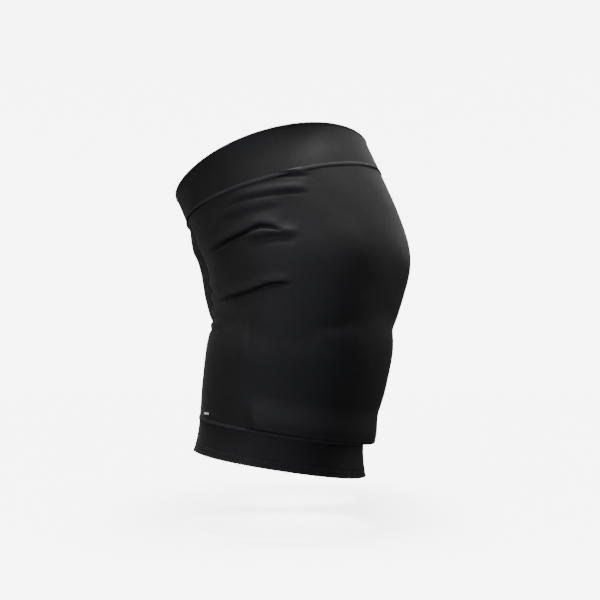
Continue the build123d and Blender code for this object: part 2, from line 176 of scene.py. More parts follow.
def distance_to_line(points: np.ndarray, line: np.ndarray) -> tuple[np.ndarray, np.ndarray]:
    """Distances in a plane from points to an open line.

    Args:
        points: n x 2 points.
        line: the line's m x 2 corners.

    Returns:
        The distance of each point, and its nearest place as a share of the line's length.
    """
    lengths = np.linalg.norm(np.diff(line, axis=0), axis=1)
    starts = np.concatenate([[0.0], np.cumsum(lengths)])
    best = np.full(len(points), 1e9)
    place = np.zeros(len(points))
    for k, length in enumerate(lengths):
        way = (line[k + 1] - line[k]) / length
        along = np.clip((points - line[k]) @ way, 0.0, length)
        gap = np.linalg.norm(points - line[k] - along[:, None] * way, axis=1)
        nearer = gap < best
        best = np.where(nearer, gap, best)
        place = np.where(nearer, (starts[k] + along) / starts[-1], place)
    return best, place


def new_object(name: str, mesh: bpy.types.Mesh) -> bpy.types.Object:
    """Link a mesh into the scene as an object at the origin.

    Args:
        name: the piece's name.
        mesh: its mesh.

    Returns:
        The new object.
    """
    made = bpy.data.objects.new(name, mesh)
    bpy.context.scene.collection.objects.link(made)
    return made


def fit_out(piece: bpy.types.Object, body: str, slot: str, *nodes: str) -> bpy.types.Object:
    """Tie a piece to its body and hide the nodes that it stands for.

    Args:
        piece: the finished object.
        body: the body that it moves with.
        slot: a material slot; not used.
        *nodes: nodes that it is shown in place of.

    Returns:
        The same object.
    """
    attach(piece, body)
    if nodes:
        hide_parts(*nodes)
    LOG.info("%s: %d faces", piece.name, len(piece.data.polygons))
    return piece


# ---- finishes ---------------------------------------------------------------------------------
class Nodes:
    """A shader tree under construction, with short ways to add to it."""

    def __init__(self, tree: bpy.types.NodeTree) -> None:
        """Start on a tree."""
        self.tree = tree

    def add(self, kind: str, **settings: object) -> bpy.types.Node:
        """Add a node.

        Args:
            kind: the node's type.
            **settings: its properties; a name that is one of its inputs sets that input.

        Returns:
            The node.
        """
        node = self.tree.nodes.new(kind)
        for name, value in settings.items():
            if hasattr(node, name):
                setattr(node, name, value)
            else:
                node.inputs[name.replace("_", " ")].default_value = value
        return node

    def join(self, out: bpy.types.NodeSocket, into: bpy.types.NodeSocket) -> None:
        """Link two sockets."""
        self.tree.links.new(out, into)

    def math(self, operation: str, a: object, b: object = 0.0) -> bpy.types.NodeSocket:
        """Add a math node on two sockets or numbers.

        Args:
            operation: what it does.
            a: its first input.
            b: its second input.

        Returns:
            Its output.
        """
        node = self.add("ShaderNodeMath", operation=operation)
        for socket, value in zip(node.inputs, (a, b)):
            if isinstance(value, bpy.types.NodeSocket):
                self.join(value, socket)
            else:
                socket.default_value = value
        return node.outputs[0]


def knit_group(kind: Knit) -> bpy.types.NodeTree:
    """The height of one kind of knit and its colour mix, as a node group: painted groove shade and random
    tone.

    Args:
        kind: the kind of cloth.

    Returns:
        A group that takes Coordinates in millimetres of cloth and Pitch, the width of a stitch
        in millimetres, and gives Height and Shade, both from 0 to 1; the second is
        painted shade, darker in the stitches' grooves and lighter on their raised loops, with random tone.
    """
    tree = bpy.data.node_groups.new(f"{kind.value}_knit", "ShaderNodeTree")
    tree.interface.new_socket("Coordinates", in_out="INPUT", socket_type="NodeSocketVector")
    pitch = tree.interface.new_socket("Pitch", in_out="INPUT", socket_type="NodeSocketFloat")
    pitch.default_value = 1.0
    tree.interface.new_socket("Height", in_out="OUTPUT", socket_type="NodeSocketFloat")
    tree.interface.new_socket("Shade", in_out="OUTPUT", socket_type="NodeSocketFloat")
    n = Nodes(tree)
    given, result = n.add("NodeGroupInput"), n.add("NodeGroupOutput")
    split = n.add("ShaderNodeSeparateXYZ")
    n.join(given.outputs["Coordinates"], split.inputs[0])
    across = n.math("DIVIDE", split.outputs["X"], given.outputs["Pitch"])
    down = n.math("DIVIDE", split.outputs["Y"], given.outputs["Pitch"])
    wale = n.math("MULTIPLY", across, 2 * math.pi)
    course = n.math("MULTIPLY", down, 2 * math.pi)
    if kind is Knit.JERSEY:
        chevron = n.math("MULTIPLY", n.math("ABSOLUTE", n.math("SINE", n.math("MULTIPLY", wale, 0.5))), 2.2)
        loops = n.math("SINE", n.math("ADD", n.math("MULTIPLY", course, 1.25), chevron))
        columns = n.math("ABSOLUTE", n.math("SINE", n.math("MULTIPLY", wale, 0.5)))
        height = n.math("ADD", n.math("MULTIPLY", loops, 0.22), n.math("MULTIPLY", columns, 0.55))
    elif kind is Knit.RIB:
        ribs = n.math("SINE", course)
        ends = n.math("SINE", n.math("MULTIPLY", wale, 1.6))
        height = n.math("ADD", n.math("MULTIPLY", ribs, 0.38), n.math("MULTIPLY", ends, 0.16))
    else:
        holes = n.math("MULTIPLY", n.math("SINE", wale), n.math("SINE", course))
        height = n.math("MULTIPLY", n.math("ABSOLUTE", holes), 0.9)
    fuzz = n.add("ShaderNodeTexNoise", noise_dimensions="3D", Scale=0.16, Detail=3.0)
    n.join(given.outputs["Coordinates"], fuzz.inputs["Vector"])
    lifted = n.math("ADD", n.math("MULTIPLY", height, 0.8), 0.2)
    n.join(lifted, result.inputs["Height"])
    # Painted shade: the colour is darker where the stitch sinks and lighter on its raised loops, mixed with
    # random tone from noise.
    groove_shade_and_tone = n.math("ADD", n.math("MULTIPLY", lifted, 0.55), n.math("MULTIPLY", fuzz.outputs["Fac"], 0.6))
    n.join(groove_shade_and_tone, result.inputs["Shade"])
    return tree


KNIT_GROUPS: dict[Knit, bpy.types.NodeTree] = {}


@dataclass(frozen=True)
class Cloth:
    """A knitted or woven finish: its dark and light colour, mixed by painted shade in the stitches' grooves
    and by random tone, its stitch and how it shines.
    """

    name: str
    kind: Knit
    dark: tuple[float, float, float]
    light: tuple[float, float, float]
    pitch: float = 0.9
    depth: float = 0.10
    roughness: float = 0.62
    sheen: float = 0.06
    sheen_roughness: float = 0.35

    def material(self) -> bpy.types.Material:
        """Make the finish.

        Returns:
            The material, the same one each time.
        """
        if self.name in bpy.data.materials:
            return bpy.data.materials[self.name]
        if self.kind not in KNIT_GROUPS:
            KNIT_GROUPS[self.kind] = knit_group(self.kind)
        made = bpy.data.materials.new(self.name)
        made.use_nodes = True
        n = Nodes(made.node_tree)
        surface = made.node_tree.nodes["Principled BSDF"]
        surface.inputs["Roughness"].default_value = self.roughness
        surface.inputs["Sheen Weight"].default_value = self.sheen
        surface.inputs["Sheen Roughness"].default_value = self.sheen_roughness
        surface.inputs["Specular IOR Level"].default_value = 0.17
        place = n.add("ShaderNodeUVMap", uv_map="cloth")
        knit = n.add("ShaderNodeGroup", node_tree=KNIT_GROUPS[self.kind])
        knit.inputs["Pitch"].default_value = self.pitch
        n.join(place.outputs["UV"], knit.inputs["Coordinates"])
        # The dark and light colours are mixed by the knit's painted groove shade and random tone.
        tint = n.add("ShaderNodeMix", data_type="RGBA")
        tint.inputs["A"].default_value = (*self.dark, 1.0)
        tint.inputs["B"].default_value = (*self.light, 1.0)
        n.join(knit.outputs["Shade"], tint.inputs["Factor"])
        n.join(tint.outputs["Result"], surface.inputs["Base Color"])
        bump = n.add("ShaderNodeBump", Strength=1.0, Distance=self.depth * MM)
        n.join(knit.outputs["Height"], bump.inputs["Height"])
        n.join(bump.outputs["Normal"], surface.inputs["Normal"])
        return made


@dataclass(frozen=True)
class Moulded:
    """A moulded finish: rubber, silicone or hard plastic, with a faint grain."""

    name: str
    colour: tuple[float, float, float]
    roughness: float = 0.4
    coat: float = 0.0
    grain: float = 0.05
    grain_scale: float = 900.0

    def material(self) -> bpy.types.Material:
        """Make the finish.

        Returns:
            The material, the same one each time.
        """
        if self.name in bpy.data.materials:
            return bpy.data.materials[self.name]
        made = bpy.data.materials.new(self.name)
        made.use_nodes = True
        n = Nodes(made.node_tree)
        surface = made.node_tree.nodes["Principled BSDF"]
        surface.inputs["Coat Weight"].default_value = self.coat
        place = n.add("ShaderNodeTexCoord")
        speck = n.add("ShaderNodeTexNoise", Scale=self.grain_scale, Detail=4.0)
        cloud = n.add("ShaderNodeTexNoise", Scale=38.0, Detail=3.0)
        n.join(place.outputs["Object"], speck.inputs["Vector"])
        n.join(place.outputs["Object"], cloud.inputs["Vector"])
        tint = n.add("ShaderNodeMix", data_type="RGBA")
        tint.inputs["A"].default_value = (*(0.8 * c for c in self.colour), 1.0)
        tint.inputs["B"].default_value = (*(min(1.0, 1.15 * c) for c in self.colour), 1.0)
        n.join(cloud.outputs["Fac"], tint.inputs["Factor"])
        n.join(tint.outputs["Result"], surface.inputs["Base Color"])
        low, spread = self.roughness * 0.8, self.roughness * 0.4
        uneven = n.math("ADD", n.math("MULTIPLY", cloud.outputs["Fac"], spread), low)
        n.join(uneven, surface.inputs["Roughness"])
        bump = n.add("ShaderNodeBump", Strength=0.6, Distance=self.grain * MM)
        n.join(speck.outputs["Fac"], bump.inputs["Height"])
        n.join(bump.outputs["Normal"], surface.inputs["Normal"])
        return made


KNIT_CLOTH = Cloth("black_knit", Knit.JERSEY, (0.0022, 0.0022, 0.0028), (0.0046, 0.0046, 0.0058))
BAND_CLOTH = Cloth("band_knit", Knit.RIB, (0.0020, 0.0020, 0.0025), (0.0048, 0.0048, 0.0058), 1.1, 0.10)
CUFF_CLOTH = Cloth("cuff_knit", Knit.RIB, (0.0024, 0.0024, 0.0030), (0.0056, 0.0056, 0.0070), 0.9, 0.10)
WEB_CLOTH = Cloth("elastic_web", Knit.RIB, (0.012, 0.012, 0.014), (0.03, 0.03, 0.033), 1.6, 0.25, 0.75)
MESH_CLOTH = Cloth("pocket_mesh", Knit.MESH, (0.014, 0.014, 0.016), (0.06, 0.06, 0.065), 2.4, 0.4, 0.7)
THREAD = Cloth("thread", Knit.RIB, (0.0035, 0.0035, 0.0042), (0.010, 0.010, 0.011), 0.4, 0.05, 0.55)
TAPE_CLOTH = Cloth("hook_and_loop", Knit.MESH, (0.01, 0.01, 0.011), (0.05, 0.05, 0.052), 1.0, 0.5, 0.8)
LABEL_CLOTH = Cloth("label_satin", Knit.RIB, (0.42, 0.42, 0.40), (0.60, 0.60, 0.58), 0.5, 0.04, 0.5)
FOAM = Moulded("foam", (0.09, 0.09, 0.10), 0.85, grain=0.4, grain_scale=500.0)
SILICONE = Moulded("silicone", (0.04, 0.04, 0.045), 0.38, grain=0.02)
SHELL = Moulded("cup_plastic", (0.72, 0.74, 0.76), 0.28, coat=0.25, grain=0.02)
RUBBER = Moulded("rim_rubber", (0.045, 0.045, 0.05), 0.6, grain=0.08)


# ---- the body's form --------------------------------------------------------------------------
@dataclass(frozen=True)
class Section:
    """A cross-section of the torso or a leg, in millimetres, front and back points as (y, z)."""

    front: tuple[float, float]
    back: tuple[float, float]
    half: float
    power: float = 2.3
    pouch: float = 0.0
    front_cleft: float = 0.0
    back_cleft: float = 0.0
    centre_x: float = 0.0

    def numbers(self) -> list[float]:
        """The section as a flat list, for smooth in-between sections."""
        shape = [self.half, self.power, self.pouch, self.front_cleft, self.back_cleft, self.centre_x]
        return [*self.front, *self.back, *shape]


@dataclass
class BodyForm:
    """The figure that the cloth is stretched over: a torso and two legs, blended into one."""

    thigh_x: float = 88.5
    pouch_half: float = 62.0
    points: int = 120
    between: int = 6
    voxel: float = 3.0
    rounding: int = 22
    torso: tuple[Section, ...] = (
        Section((-122.5, -6.0), (98.5, 56.0), 148.0, 2.2),
        Section((-109.5, -34.0), (107.0, 28.0), 148.0, 2.2),
        Section((-97.5, -62.0), (123.0, -8.0), 154.7, 2.3, 1.2),
        Section((-92.0, -91.0), (145.0, -59.5), 162.9, 2.4, 7.2, 0.0, 3.0),
        Section((-83.5, -116.5), (156.5, -107.0), 170.1, 2.5, 12.0, 0.0, 7.0),
        Section((-77.5, -149.2), (148.0, -149.6), 172.0, 2.5, 12.0, 0.0, 11.0),
        Section((-74.0, -180.4), (136.0, -183.2), 172.0, 2.55, 7.2, 10.0, 18.0),
        Section((-68.0, -206.0), (127.0, -206.0), 171.0, 2.6, 0.0, 45.0, 50.0),
    )
    leg: tuple[Section, ...] = (
        Section((-54.0, -154.0), (124.0, -154.0), 72.5, centre_x=87.0),
        Section((-62.0, -182.0), (127.0, -182.0), 80.5, centre_x=88.0),
        Section((-67.0, -206.0), (127.5, -206.0), 83.4, centre_x=88.5),
        Section((-70.0, -236.5), (119.0, -248.0), 80.4, centre_x=89.1),
        Section((-72.4, -271.5), (103.5, -297.6), 76.2, centre_x=89.5),
        Section((-75.0, -306.0), (102.0, -333.0), 75.0, centre_x=89.5),
    )
    tree: BVHTree | None = None

    def loop(self, numbers: np.ndarray) -> np.ndarray:
        """Points round one section.

        Args:
            numbers: the section as Section.numbers gives it.

        Returns:
            The points, in metres.
        """
        y0, z0, y1, z1, half, power, pouch, front_cleft, back_cleft, centre_x = numbers
        angle = 2 * np.pi * np.arange(self.points) / self.points
        c, s = np.cos(angle), np.sin(angle)
        depth = math.hypot(y1 - y0, z1 - z0) / 2
        radius = (np.abs(c / half) ** power + np.abs(s / depth) ** power) ** (-1 / power)
        across, along = radius * c, radius * s
        groove = np.clip(1 - (across / self.thigh_x) ** 2, 0.0, 1.0) ** 2
        pull = smooth_step(np.abs(across) / self.pouch_half) * np.abs(s) * pouch + front_cleft * groove
        along = np.where(s > 0, along - back_cleft * groove, along + pull)
        way = np.array([y1 - y0, z1 - z0]) / (2 * depth)
        y, z = (y0 + y1) / 2 + along * way[0], (z0 + z1) / 2 + along * way[1]
        return np.stack([centre_x + across, y, z], axis=1) * MM

    def add_loft(self, mesh: bmesh.types.BMesh, sections: tuple[Section, ...], side: int) -> None:
        """Add a closed loft to a mesh.

        Args:
            mesh: the mesh under construction.
            sections: the sections from the top down.
            side: 1, or -1 to mirror it.
        """
        table = np.array([section.numbers() for section in sections])[:, None, :]
        rings = []
        for numbers in finer(table, self.between, False, 0)[:, 0, :]:
            ring = self.loop(numbers) * np.array([side, 1, 1])
            rings.append([mesh.verts.new(point) for point in ring])
        for upper, lower in zip(rings, rings[1:]):
            for i in range(self.points):
                j = (i + 1) % self.points
                corners = (upper[i], lower[i], lower[j], upper[j])
                mesh.faces.new(corners if side > 0 else corners[::-1])
        mesh.faces.new(rings[0] if side > 0 else rings[0][::-1])
        mesh.faces.new(rings[-1][::-1] if side > 0 else rings[-1])

    def build(self) -> None:
        """Blend torso and legs into one surface that points can be found on."""
        mesh = bmesh.new()
        self.add_loft(mesh, self.torso, 1)
        self.add_loft(mesh, self.leg, 1)
        self.add_loft(mesh, self.leg, -1)
        data = bpy.data.meshes.new("form")
        mesh.to_mesh(data)
        mesh.free()
        form = new_object("form", data)
        remesh = form.modifiers.new("blend", "REMESH")
        remesh.mode = "VOXEL"
        remesh.voxel_size = self.voxel * MM
        smooth = form.modifiers.new("round", "SMOOTH")
        smooth.factor = 0.5
        smooth.iterations = self.rounding
        bpy.context.view_layer.update()
        self.tree = BVHTree.FromObject(form, bpy.context.evaluated_depsgraph_get())
        bpy.data.objects.remove(form)

    def hit(self, origin: tuple[float, float, float], way: tuple[float, float, float]) -> np.ndarray:
        """The surface's point in a direction.

        Args:
            origin: where to look from, in millimetres.
            way: the direction.

        Returns:
            The point, in millimetres.
        """
        found = self.tree.ray_cast(Vector(origin) * MM, Vector(way).normalized())[0]
        if found is None:
            raise ValueError(f"no surface seen from {origin} along {way}")
        return np.array(found) / MM

    def ring_point(self, centre: tuple[float, float], angle: float, level: "Level") -> np.ndarray:
        """The surface's point on a level line, in a direction round a centre.

        Args:
            centre: (x, y) of the centre, in millimetres.
            angle: the direction, in radians from +x towards +y.
            level: the line's heights.

        Returns:
            The point, in millimetres.
        """
        way = (math.cos(angle), math.sin(angle), 0.0)
        y = centre[1] + 90.0 * way[1]
        point = np.zeros(3)
        for _ in range(3):
            point = self.hit((*centre, level.height(y)), way)
            y = point[1]
        return point


@dataclass(frozen=True)
class Level:
    """A line round the garment: (y, z) at its front and back, and its rise over the hip."""

    front: tuple[float, float]
    back: tuple[float, float]
    arch: float = 0.0

    def height(self, y: float) -> float:
        """The line's height where it is y millimetres back."""
        share = min(1.1, max(-0.1, (y - self.front[0]) / (self.back[0] - self.front[0])))
        return self.front[1] + (self.back[1] - self.front[1]) * share + 4 * self.arch * share * (1 - share)

    def toward(self, other: "Level", share: float) -> "Level":
        """The line that is a share of the way to another."""
        front = tuple(a + (b - a) * share for a, b in zip(self.front, other.front))
        back = tuple(a + (b - a) * share for a, b in zip(self.back, other.back))
        return Level(front, back, self.arch + (other.arch - self.arch) * share)


WAIST = Level((-109.5, -34.0), (107.0, 28.0), 16.5)
BAND_SEAM = Level((-96.5, -62.0), (124.0, -8.0), 1.6)
CROTCH = Level((-70.0, -206.0), (124.0, -206.0))
CUFF_SEAM = Level((-72.4, -271.5), (96.3, -298.2))
HEM = Level((-78.4, -307.0), (98.3, -333.7))


# ---- folds ------------------------------------------------------------------------------------
@dataclass(frozen=True)
class Fold:
    """A fold of the cloth, drawn as (y, z) points on the left side, with a ridge along its crease.

    Attributes:
        line: the crease, in millimetres.
        crease: how deep it is.
        crease_width: how wide it is.
        ridge: how high the ridge beside it is.
        ridge_width: how wide the ridge is.
        ridge_offset: how far the ridge is from the crease, to the left of the line's way.
        peak: where along the line the fold is strongest.
    """

    line: tuple[tuple[float, float], ...]
    crease: float
    crease_width: float
    ridge: float
    ridge_width: float
    ridge_offset: float
    peak: float = 0.5

    def height(self, y: np.ndarray, z: np.ndarray) -> np.ndarray:
        """How far the fold raises the cloth.

        Args:
            y: the points' y, in millimetres.
            z: their z.

        Returns:
            The height at each point, in millimetres.
        """
        points = np.stack([y, z], axis=1)
        curve = finer(np.array(self.line)[:, None, :], 6, False, 0)[:, 0, :]
        _, place = distance_to_line(points, curve)
        best = np.full(len(points), 1e9)
        signed = np.zeros(len(points))
        for start, end in zip(curve, curve[1:]):
            way = end - start
            length = float(np.hypot(*way))
            gap = points - start
            along = np.clip(gap @ way / length**2, 0.0, 1.0)
            off = gap - along[:, None] * way
            reach = np.linalg.norm(off, axis=1)
            side = np.sign(way[0] * gap[:, 1] - way[1] * gap[:, 0])
            signed = np.where(reach < best, side * reach, signed)
            best = np.minimum(best, reach)
        taper = np.where(place < self.peak, place / self.peak, (1 - place) / (1 - self.peak))
        swell = smooth_step(taper * 1.8)
        dip = self.crease * bump(signed, 0.0, self.crease_width)
        rise = self.ridge * bump(signed, self.ridge_offset, self.ridge_width)
        return swell * (rise - dip)


HIP_FOLDS = (
    Fold(((-34, -36), (-19, -32.5), (11, -34), (44, -35)), 1.5, 2.0, 1.3, 4.5, 5.0),
    Fold(((-48, -66), (-30, -59.5), (-7, -55.5), (21, -52.5), (44, -53)), 1.2, 2.0, 1.3, 5.0, 5.5, 0.55),
    Fold(((-56, -80), (-30, -74), (-5, -69), (18, -67)), 0.9, 4.0, 0.8, 6.0, 7.0),
    Fold(
        ((-73, -108), (-60, -105), (-47, -101), (-25, -93), (-7, -86.5), (17, -92)),
        3.6, 1.6, 1.5, 5.5, 4.6, 0.66,
    ),
    Fold(((-26, -104), (-4, -99.5), (12, -98.5), (32, -100)), 1.6, 5.0, 1.8, 5.0, 7.0),
    Fold(((-64, -158.5), (-48, -156), (-24, -152.5), (2, -144.5), (26, -144)), 3.0, 1.5, 1.4, 5.5, 4.4, 0.66),
    Fold(((-70, -172), (-50, -176), (-28, -184)), 0.8, 6.0, 0.7, 8.0, 8.0),
    Fold(((-13, -170), (-18, -190), (-19, -215)), 0.7, 3.2, 0.6, 6.0, -6.0),
    Fold(((90, -176), (70, -184), (40, -186)), 0.7, 6.0, 0.9, 9.0, 9.0),
)
FRONT_PUCKERS = (
    Fold(((-79, -134), (-66, -140), (-52, -150)), 1.8, 2.6, 1.5, 4.0, 5.0, 0.2),
    Fold(((-76, -150), (-64, -154), (-52, -158)), 1.5, 2.4, 1.4, 4.0, 5.0, 0.2),
    Fold(((-73, -166), (-64, -170), (-50, -177)), 1.7, 2.6, 1.6, 4.0, 5.0, 0.2),
    Fold(((-72, -180), (-62, -184), (-48, -190)), 1.2, 2.6, 1.2, 4.0, 5.0, 0.2),
)


@dataclass(frozen=True)
class Drape:
    """Everything that lifts the cloth off the figure: its folds and where it blouses over the cuff."""

    folds: tuple[Fold, ...] = HIP_FOLDS + FRONT_PUCKERS
    outer_start: float = 30.0
    outer_run: float = 30.0
    blouse: float = 4.8
    blouse_start: float = -22.0
    blouse_top: float = 34.0
    blouse_run: float = 28.0
    ripple: float = 0.2
    right_shift: float = 3.0
    right_softer: float = 0.25

    def lift(self, grid: np.ndarray, side: Side) -> np.ndarray:
        """How far the cloth stands off the figure.

        Args:
            grid: rows x columns x 3 points on the left side, in millimetres.
            side: the side that it is for; the two sides differ a little.

        Returns:
            The height at each point, in millimetres.
        """
        flat = grid.reshape(-1, 3)
        x, y, z = flat.T
        other = 0.0 if side is Side.LEFT else 1.0
        shift = other * self.right_shift
        outer = smooth_step((x - self.outer_start) / self.outer_run)
        high = np.zeros(len(flat))
        for k, fold in enumerate(self.folds):
            size = 1.0 - self.right_softer * other * math.sin(2.1 * k + 0.5) ** 2
            high += size * fold.height(y + shift * math.sin(1.7 * k), z + shift * math.cos(2.3 * k))
        seam = CUFF_SEAM
        slope = (seam.back[1] - seam.front[1]) / (seam.back[0] - seam.front[0])
        above = z - (seam.front[1] + slope * (y - seam.front[0]))
        where = smooth_step((y - self.blouse_start) / 10.0)
        bulge = self.blouse * where * smooth_step((self.blouse_top - above) / self.blouse_run)
        ripple = self.ripple * np.sin(0.11 * y + 0.05 * z + other) * np.sin(0.07 * z - 0.04 * x)
        return (outer * high + bulge + ripple).reshape(grid.shape[:2])


# ---- sheets of cloth --------------------------------------------------------------------------
@dataclass
class Sheet:
    """A sheet of cloth laid out as a grid of points, in millimetres, rows down and columns round.

    Attributes:
        name: the piece's name.
        grid: its outer face's points.
        cloth: its finish.
        thickness: how thick it is, inwards.
        closed: whether the columns join round.
        outward: a point on the wearer's side of it.
    """

    name: str
    grid: np.ndarray
    cloth: Cloth | Moulded
    thickness: float
    closed: bool = False
    outward: tuple[float, float, float] | None = None

    def normals(self) -> np.ndarray:
        """Normals that point away from the wearer."""
        normals = grid_normals(self.grid, self.closed)
        middle = self.grid.reshape(-1, 3).mean(axis=0) if self.outward is None else np.array(self.outward)
        if np.sum(normals * (self.grid - middle)) < 0:
            normals = -normals
        return normals

    def lifted(self, height: np.ndarray | float) -> "Sheet":
        """The same sheet moved off itself.

        Args:
            height: how far, one number or one for each point.

        Returns:
            The moved sheet.
        """
        high = np.asarray(height)
        high = high[..., None] if high.ndim else high
        return replace(self, grid=self.grid + self.normals() * high)

    def mesh(self) -> bpy.types.Mesh:
        """Make the sheet's mesh with its thickness and its cloth coordinates.

        Returns:
            A closed mesh with a UV map named cloth, in millimetres of cloth.
        """
        rows, columns = self.grid.shape[:2]
        outer, inner = self.grid, self.grid - self.normals() * self.thickness
        points = np.concatenate([outer.reshape(-1, 3), inner.reshape(-1, 3)]) * MM
        spans = columns if self.closed else columns - 1
        under = rows * columns
        r, c = np.meshgrid(np.arange(rows - 1), np.arange(spans), indexing="ij")
        a = (r * columns + c).ravel()
        b = (r * columns + (c + 1) % columns).ravel()
        faces = [np.stack([a, b, b + columns, a + columns], axis=1)]
        faces.append(faces[0][:, ::-1] + under)
        for row, way in ((0, 1), (rows - 1, -1)):
            i = row * columns + np.arange(spans)
            j = row * columns + (np.arange(spans) + 1) % columns
            quad = np.stack([j, i, i + under, j + under], axis=1)
            faces.append(quad if way > 0 else quad[:, ::-1])
        if not self.closed:
            for column, way in ((0, 1), (columns - 1, -1)):
                i = np.arange(rows - 1) * columns + column
                quad = np.stack([i, i + columns, i + columns + under, i + under], axis=1)
                faces.append(quad if way > 0 else quad[:, ::-1])
        quads = np.concatenate(faces)
        facing = np.cross(outer[0, 1] - outer[0, 0], outer[1, 0] - outer[0, 0])
        if np.dot(facing, self.normals()[0, 0]) < 0:
            quads = quads[:, ::-1]
        made = bpy.data.meshes.new(self.name)
        made.from_pydata(points.tolist(), [], quads.tolist())
        self.add_cloth_coordinates(made, quads % under)
        made.shade_smooth()
        made.materials.append(self.cloth.material())
        made.validate()
        return made

    def add_cloth_coordinates(self, made: bpy.types.Mesh, corners: np.ndarray) -> None:
        """Give a mesh the place of each corner on the flat cloth.

        Args:
            made: the mesh.
            corners: each face's corners as numbers of grid points.
        """
        columns = self.grid.shape[1]
        across = np.linalg.norm(np.diff(self.grid, axis=1), axis=2).mean(axis=0)
        down = np.linalg.norm(np.diff(self.grid, axis=0), axis=2).mean(axis=1)
        u = np.concatenate([[0.0], np.cumsum(across)])
        v = np.concatenate([[0.0], np.cumsum(down)])
        column = corners % columns
        places = u[column]
        if self.closed:
            step = u[-1] / (columns - 1)
            crossing = (column.max(axis=1) - column.min(axis=1)) > columns // 2
            places = np.where(crossing[:, None] & (column == 0), u[-1] + step, places)
        layer = made.uv_layers.new(name="cloth")
        values = np.stack([places.ravel(), v[corners // columns].ravel()], axis=1)
        layer.data.foreach_set("uv", values.ravel().astype(np.float32))

    def object(self) -> bpy.types.Object:
        """Make the sheet's object."""
        return new_object(f"{self.name}_cloth", self.mesh())


# ---- the garment's panels ---------------------------------------------------------------------
@dataclass
class Shorts:
    """The shorts: panels, waistband, cuffs and what is sewn to them.

    The sizes are in millimetres and the directions in radians. A leg's loops start and end on the
    inner thigh, and its panel's rows are seen from a centre that moves from the hip to the cuff.
    """

    form: BodyForm
    drape: Drape = field(default_factory=Drape)
    fabric: float = 1.0
    panel_top_half: float = 62.0
    panel_bottom_half: float = 34.0
    panel_top: float = -56.0
    panel_turn: float = -160.0
    panel_end: float = -204.0
    panel_overlap: float = 3.5
    gusset_run: tuple[float, float] = (-52.0, 104.0)
    gusset_ends: tuple[float, float] = (-62.0, 116.0)
    gusset_tip: tuple[float, float] = (19.0, -261.0)
    torso_rows: int = 44
    leg_rows: int = 22
    columns: int = 80
    finer_steps: int = 3
    hip_centre: tuple[float, float] = (58.0, 14.0)
    crotch_centre: tuple[float, float] = (88.5, 26.0)
    cuff_centre_forward: float = 8.0
    front_edge_in: float = 4.0
    leg_join_drop: float = 48.0
    loop_start: float = math.radians(-176.0)
    loop_end: float = math.radians(184.0)
    back_seam_x: float = 0.15
    tuck: tuple[float, ...] = (0.12, 0.35, 0.65, 0.95)
    tuck_sag: float = 1.4
    leg_middle: tuple[float, float, float] = (70.0, 20.0, -150.0)
    cuff_half: float = 75.2
    cuff_x: float = 90.0
    cuff_y: float = 12.0
    cuff_middle_z: float = -300.0
    cuff_power: float = 2.2
    cuff_columns: int = 180
    cuff_front_drop: float = 5.0
    band_columns: int = 160
    edges: dict[str, np.ndarray] = field(default_factory=dict)

    def panel_half(self, z: float) -> float:
        """Half the front panel's width at a height."""
        share = (z - CROTCH.front[1]) / (WAIST.front[1] - CROTCH.front[1])
        return self.panel_bottom_half + (self.panel_top_half - self.panel_bottom_half) * share

    def leg_levels(self) -> list[tuple[Level, tuple[float, float], float, float]]:
        """The leg panel's rows: each one's line, centre, and first and last direction."""
        rows = []
        top = BAND_SEAM.toward(WAIST, 0.06)
        for k in range(self.torso_rows):
            share = k / self.torso_rows
            level = top.toward(CROTCH, share)
            x, y = (a + (b - a) * share for a, b in zip(self.hip_centre, self.crotch_centre))
            half = self.panel_half(level.front[1])
            first = math.atan2(level.front[0] + self.front_edge_in * share - y, half - x)
            rows.append((level, (x, y), first, self.back_angle(level, (x, y))))
        start_first, start_last = rows[-1][2], rows[-1][3]
        for k in range(self.leg_rows + 1):
            share = k / self.leg_rows
            level = CROTCH.toward(CUFF_SEAM, share)
            drop = share * (CROTCH.front[1] - CUFF_SEAM.front[1])
            closing = float(smooth_step(np.array(drop / self.leg_join_drop)))
            first = start_first + (self.loop_start - start_first) * closing
            last = start_last + (self.loop_end - start_last) * closing
            x, y = self.crotch_centre
            rows.append((level, (x, y - self.cuff_centre_forward * share), first, last))
        return rows

    def back_angle(self, level: Level, centre: tuple[float, float]) -> float:
        """The direction of the back seam from a row's centre.

        Args:
            level: the row's line.
            centre: the row's centre.

        Returns:
            The direction, in radians; straight across where the legs are apart.
        """
        near, far = math.pi / 2, self.loop_end
        for _ in range(SEARCH_STEPS):
            middle = (near + far) / 2
            if self.form.ring_point(centre, middle, level)[0] > self.back_seam_x:
                near = middle
            else:
                far = middle
        return near

    def leg_grid(self) -> np.ndarray:
        """Points of the left leg panel on the figure."""
        grid = []
        for level, centre, first, last in self.leg_levels():
            angles = np.linspace(first, last, self.columns)
            grid.append([self.form.ring_point(centre, angle, level) for angle in angles])
        return finer_both(np.array(grid), self.finer_steps, self.finer_steps)

    def cuff_ring(self, level: Level, columns: int, grow: float = 0.0) -> np.ndarray:
        """One loop of the left cuff.

        Args:
            level: the loop's line.
            columns: how many points.
            grow: how much wider than the cuff, in millimetres.

        Returns:
            The loop's points, from the inner thigh round the front.
        """
        angle = self.loop_start + 2 * np.pi * np.arange(columns) / columns
        c, s = np.cos(angle), np.sin(angle)
        depth = math.dist(level.front, level.back) / 2 + grow
        half, power = self.cuff_half + grow, self.cuff_power
        radius = (np.abs(c / half) ** power + np.abs(s / depth) ** power) ** (-1 / power)
        share = 0.5 + 0.5 * radius * s / depth * (depth / (depth - grow))
        y = level.front[0] + (level.back[0] - level.front[0]) * share
        z = level.front[1] + (level.back[1] - level.front[1]) * share
        return np.stack([self.cuff_x + radius * c, y, z], axis=1)

    def side_grid(self, grid: np.ndarray, side: Side) -> np.ndarray:
        """The grid for one side of the wearer."""
        return grid * np.array([side.value, 1, 1])

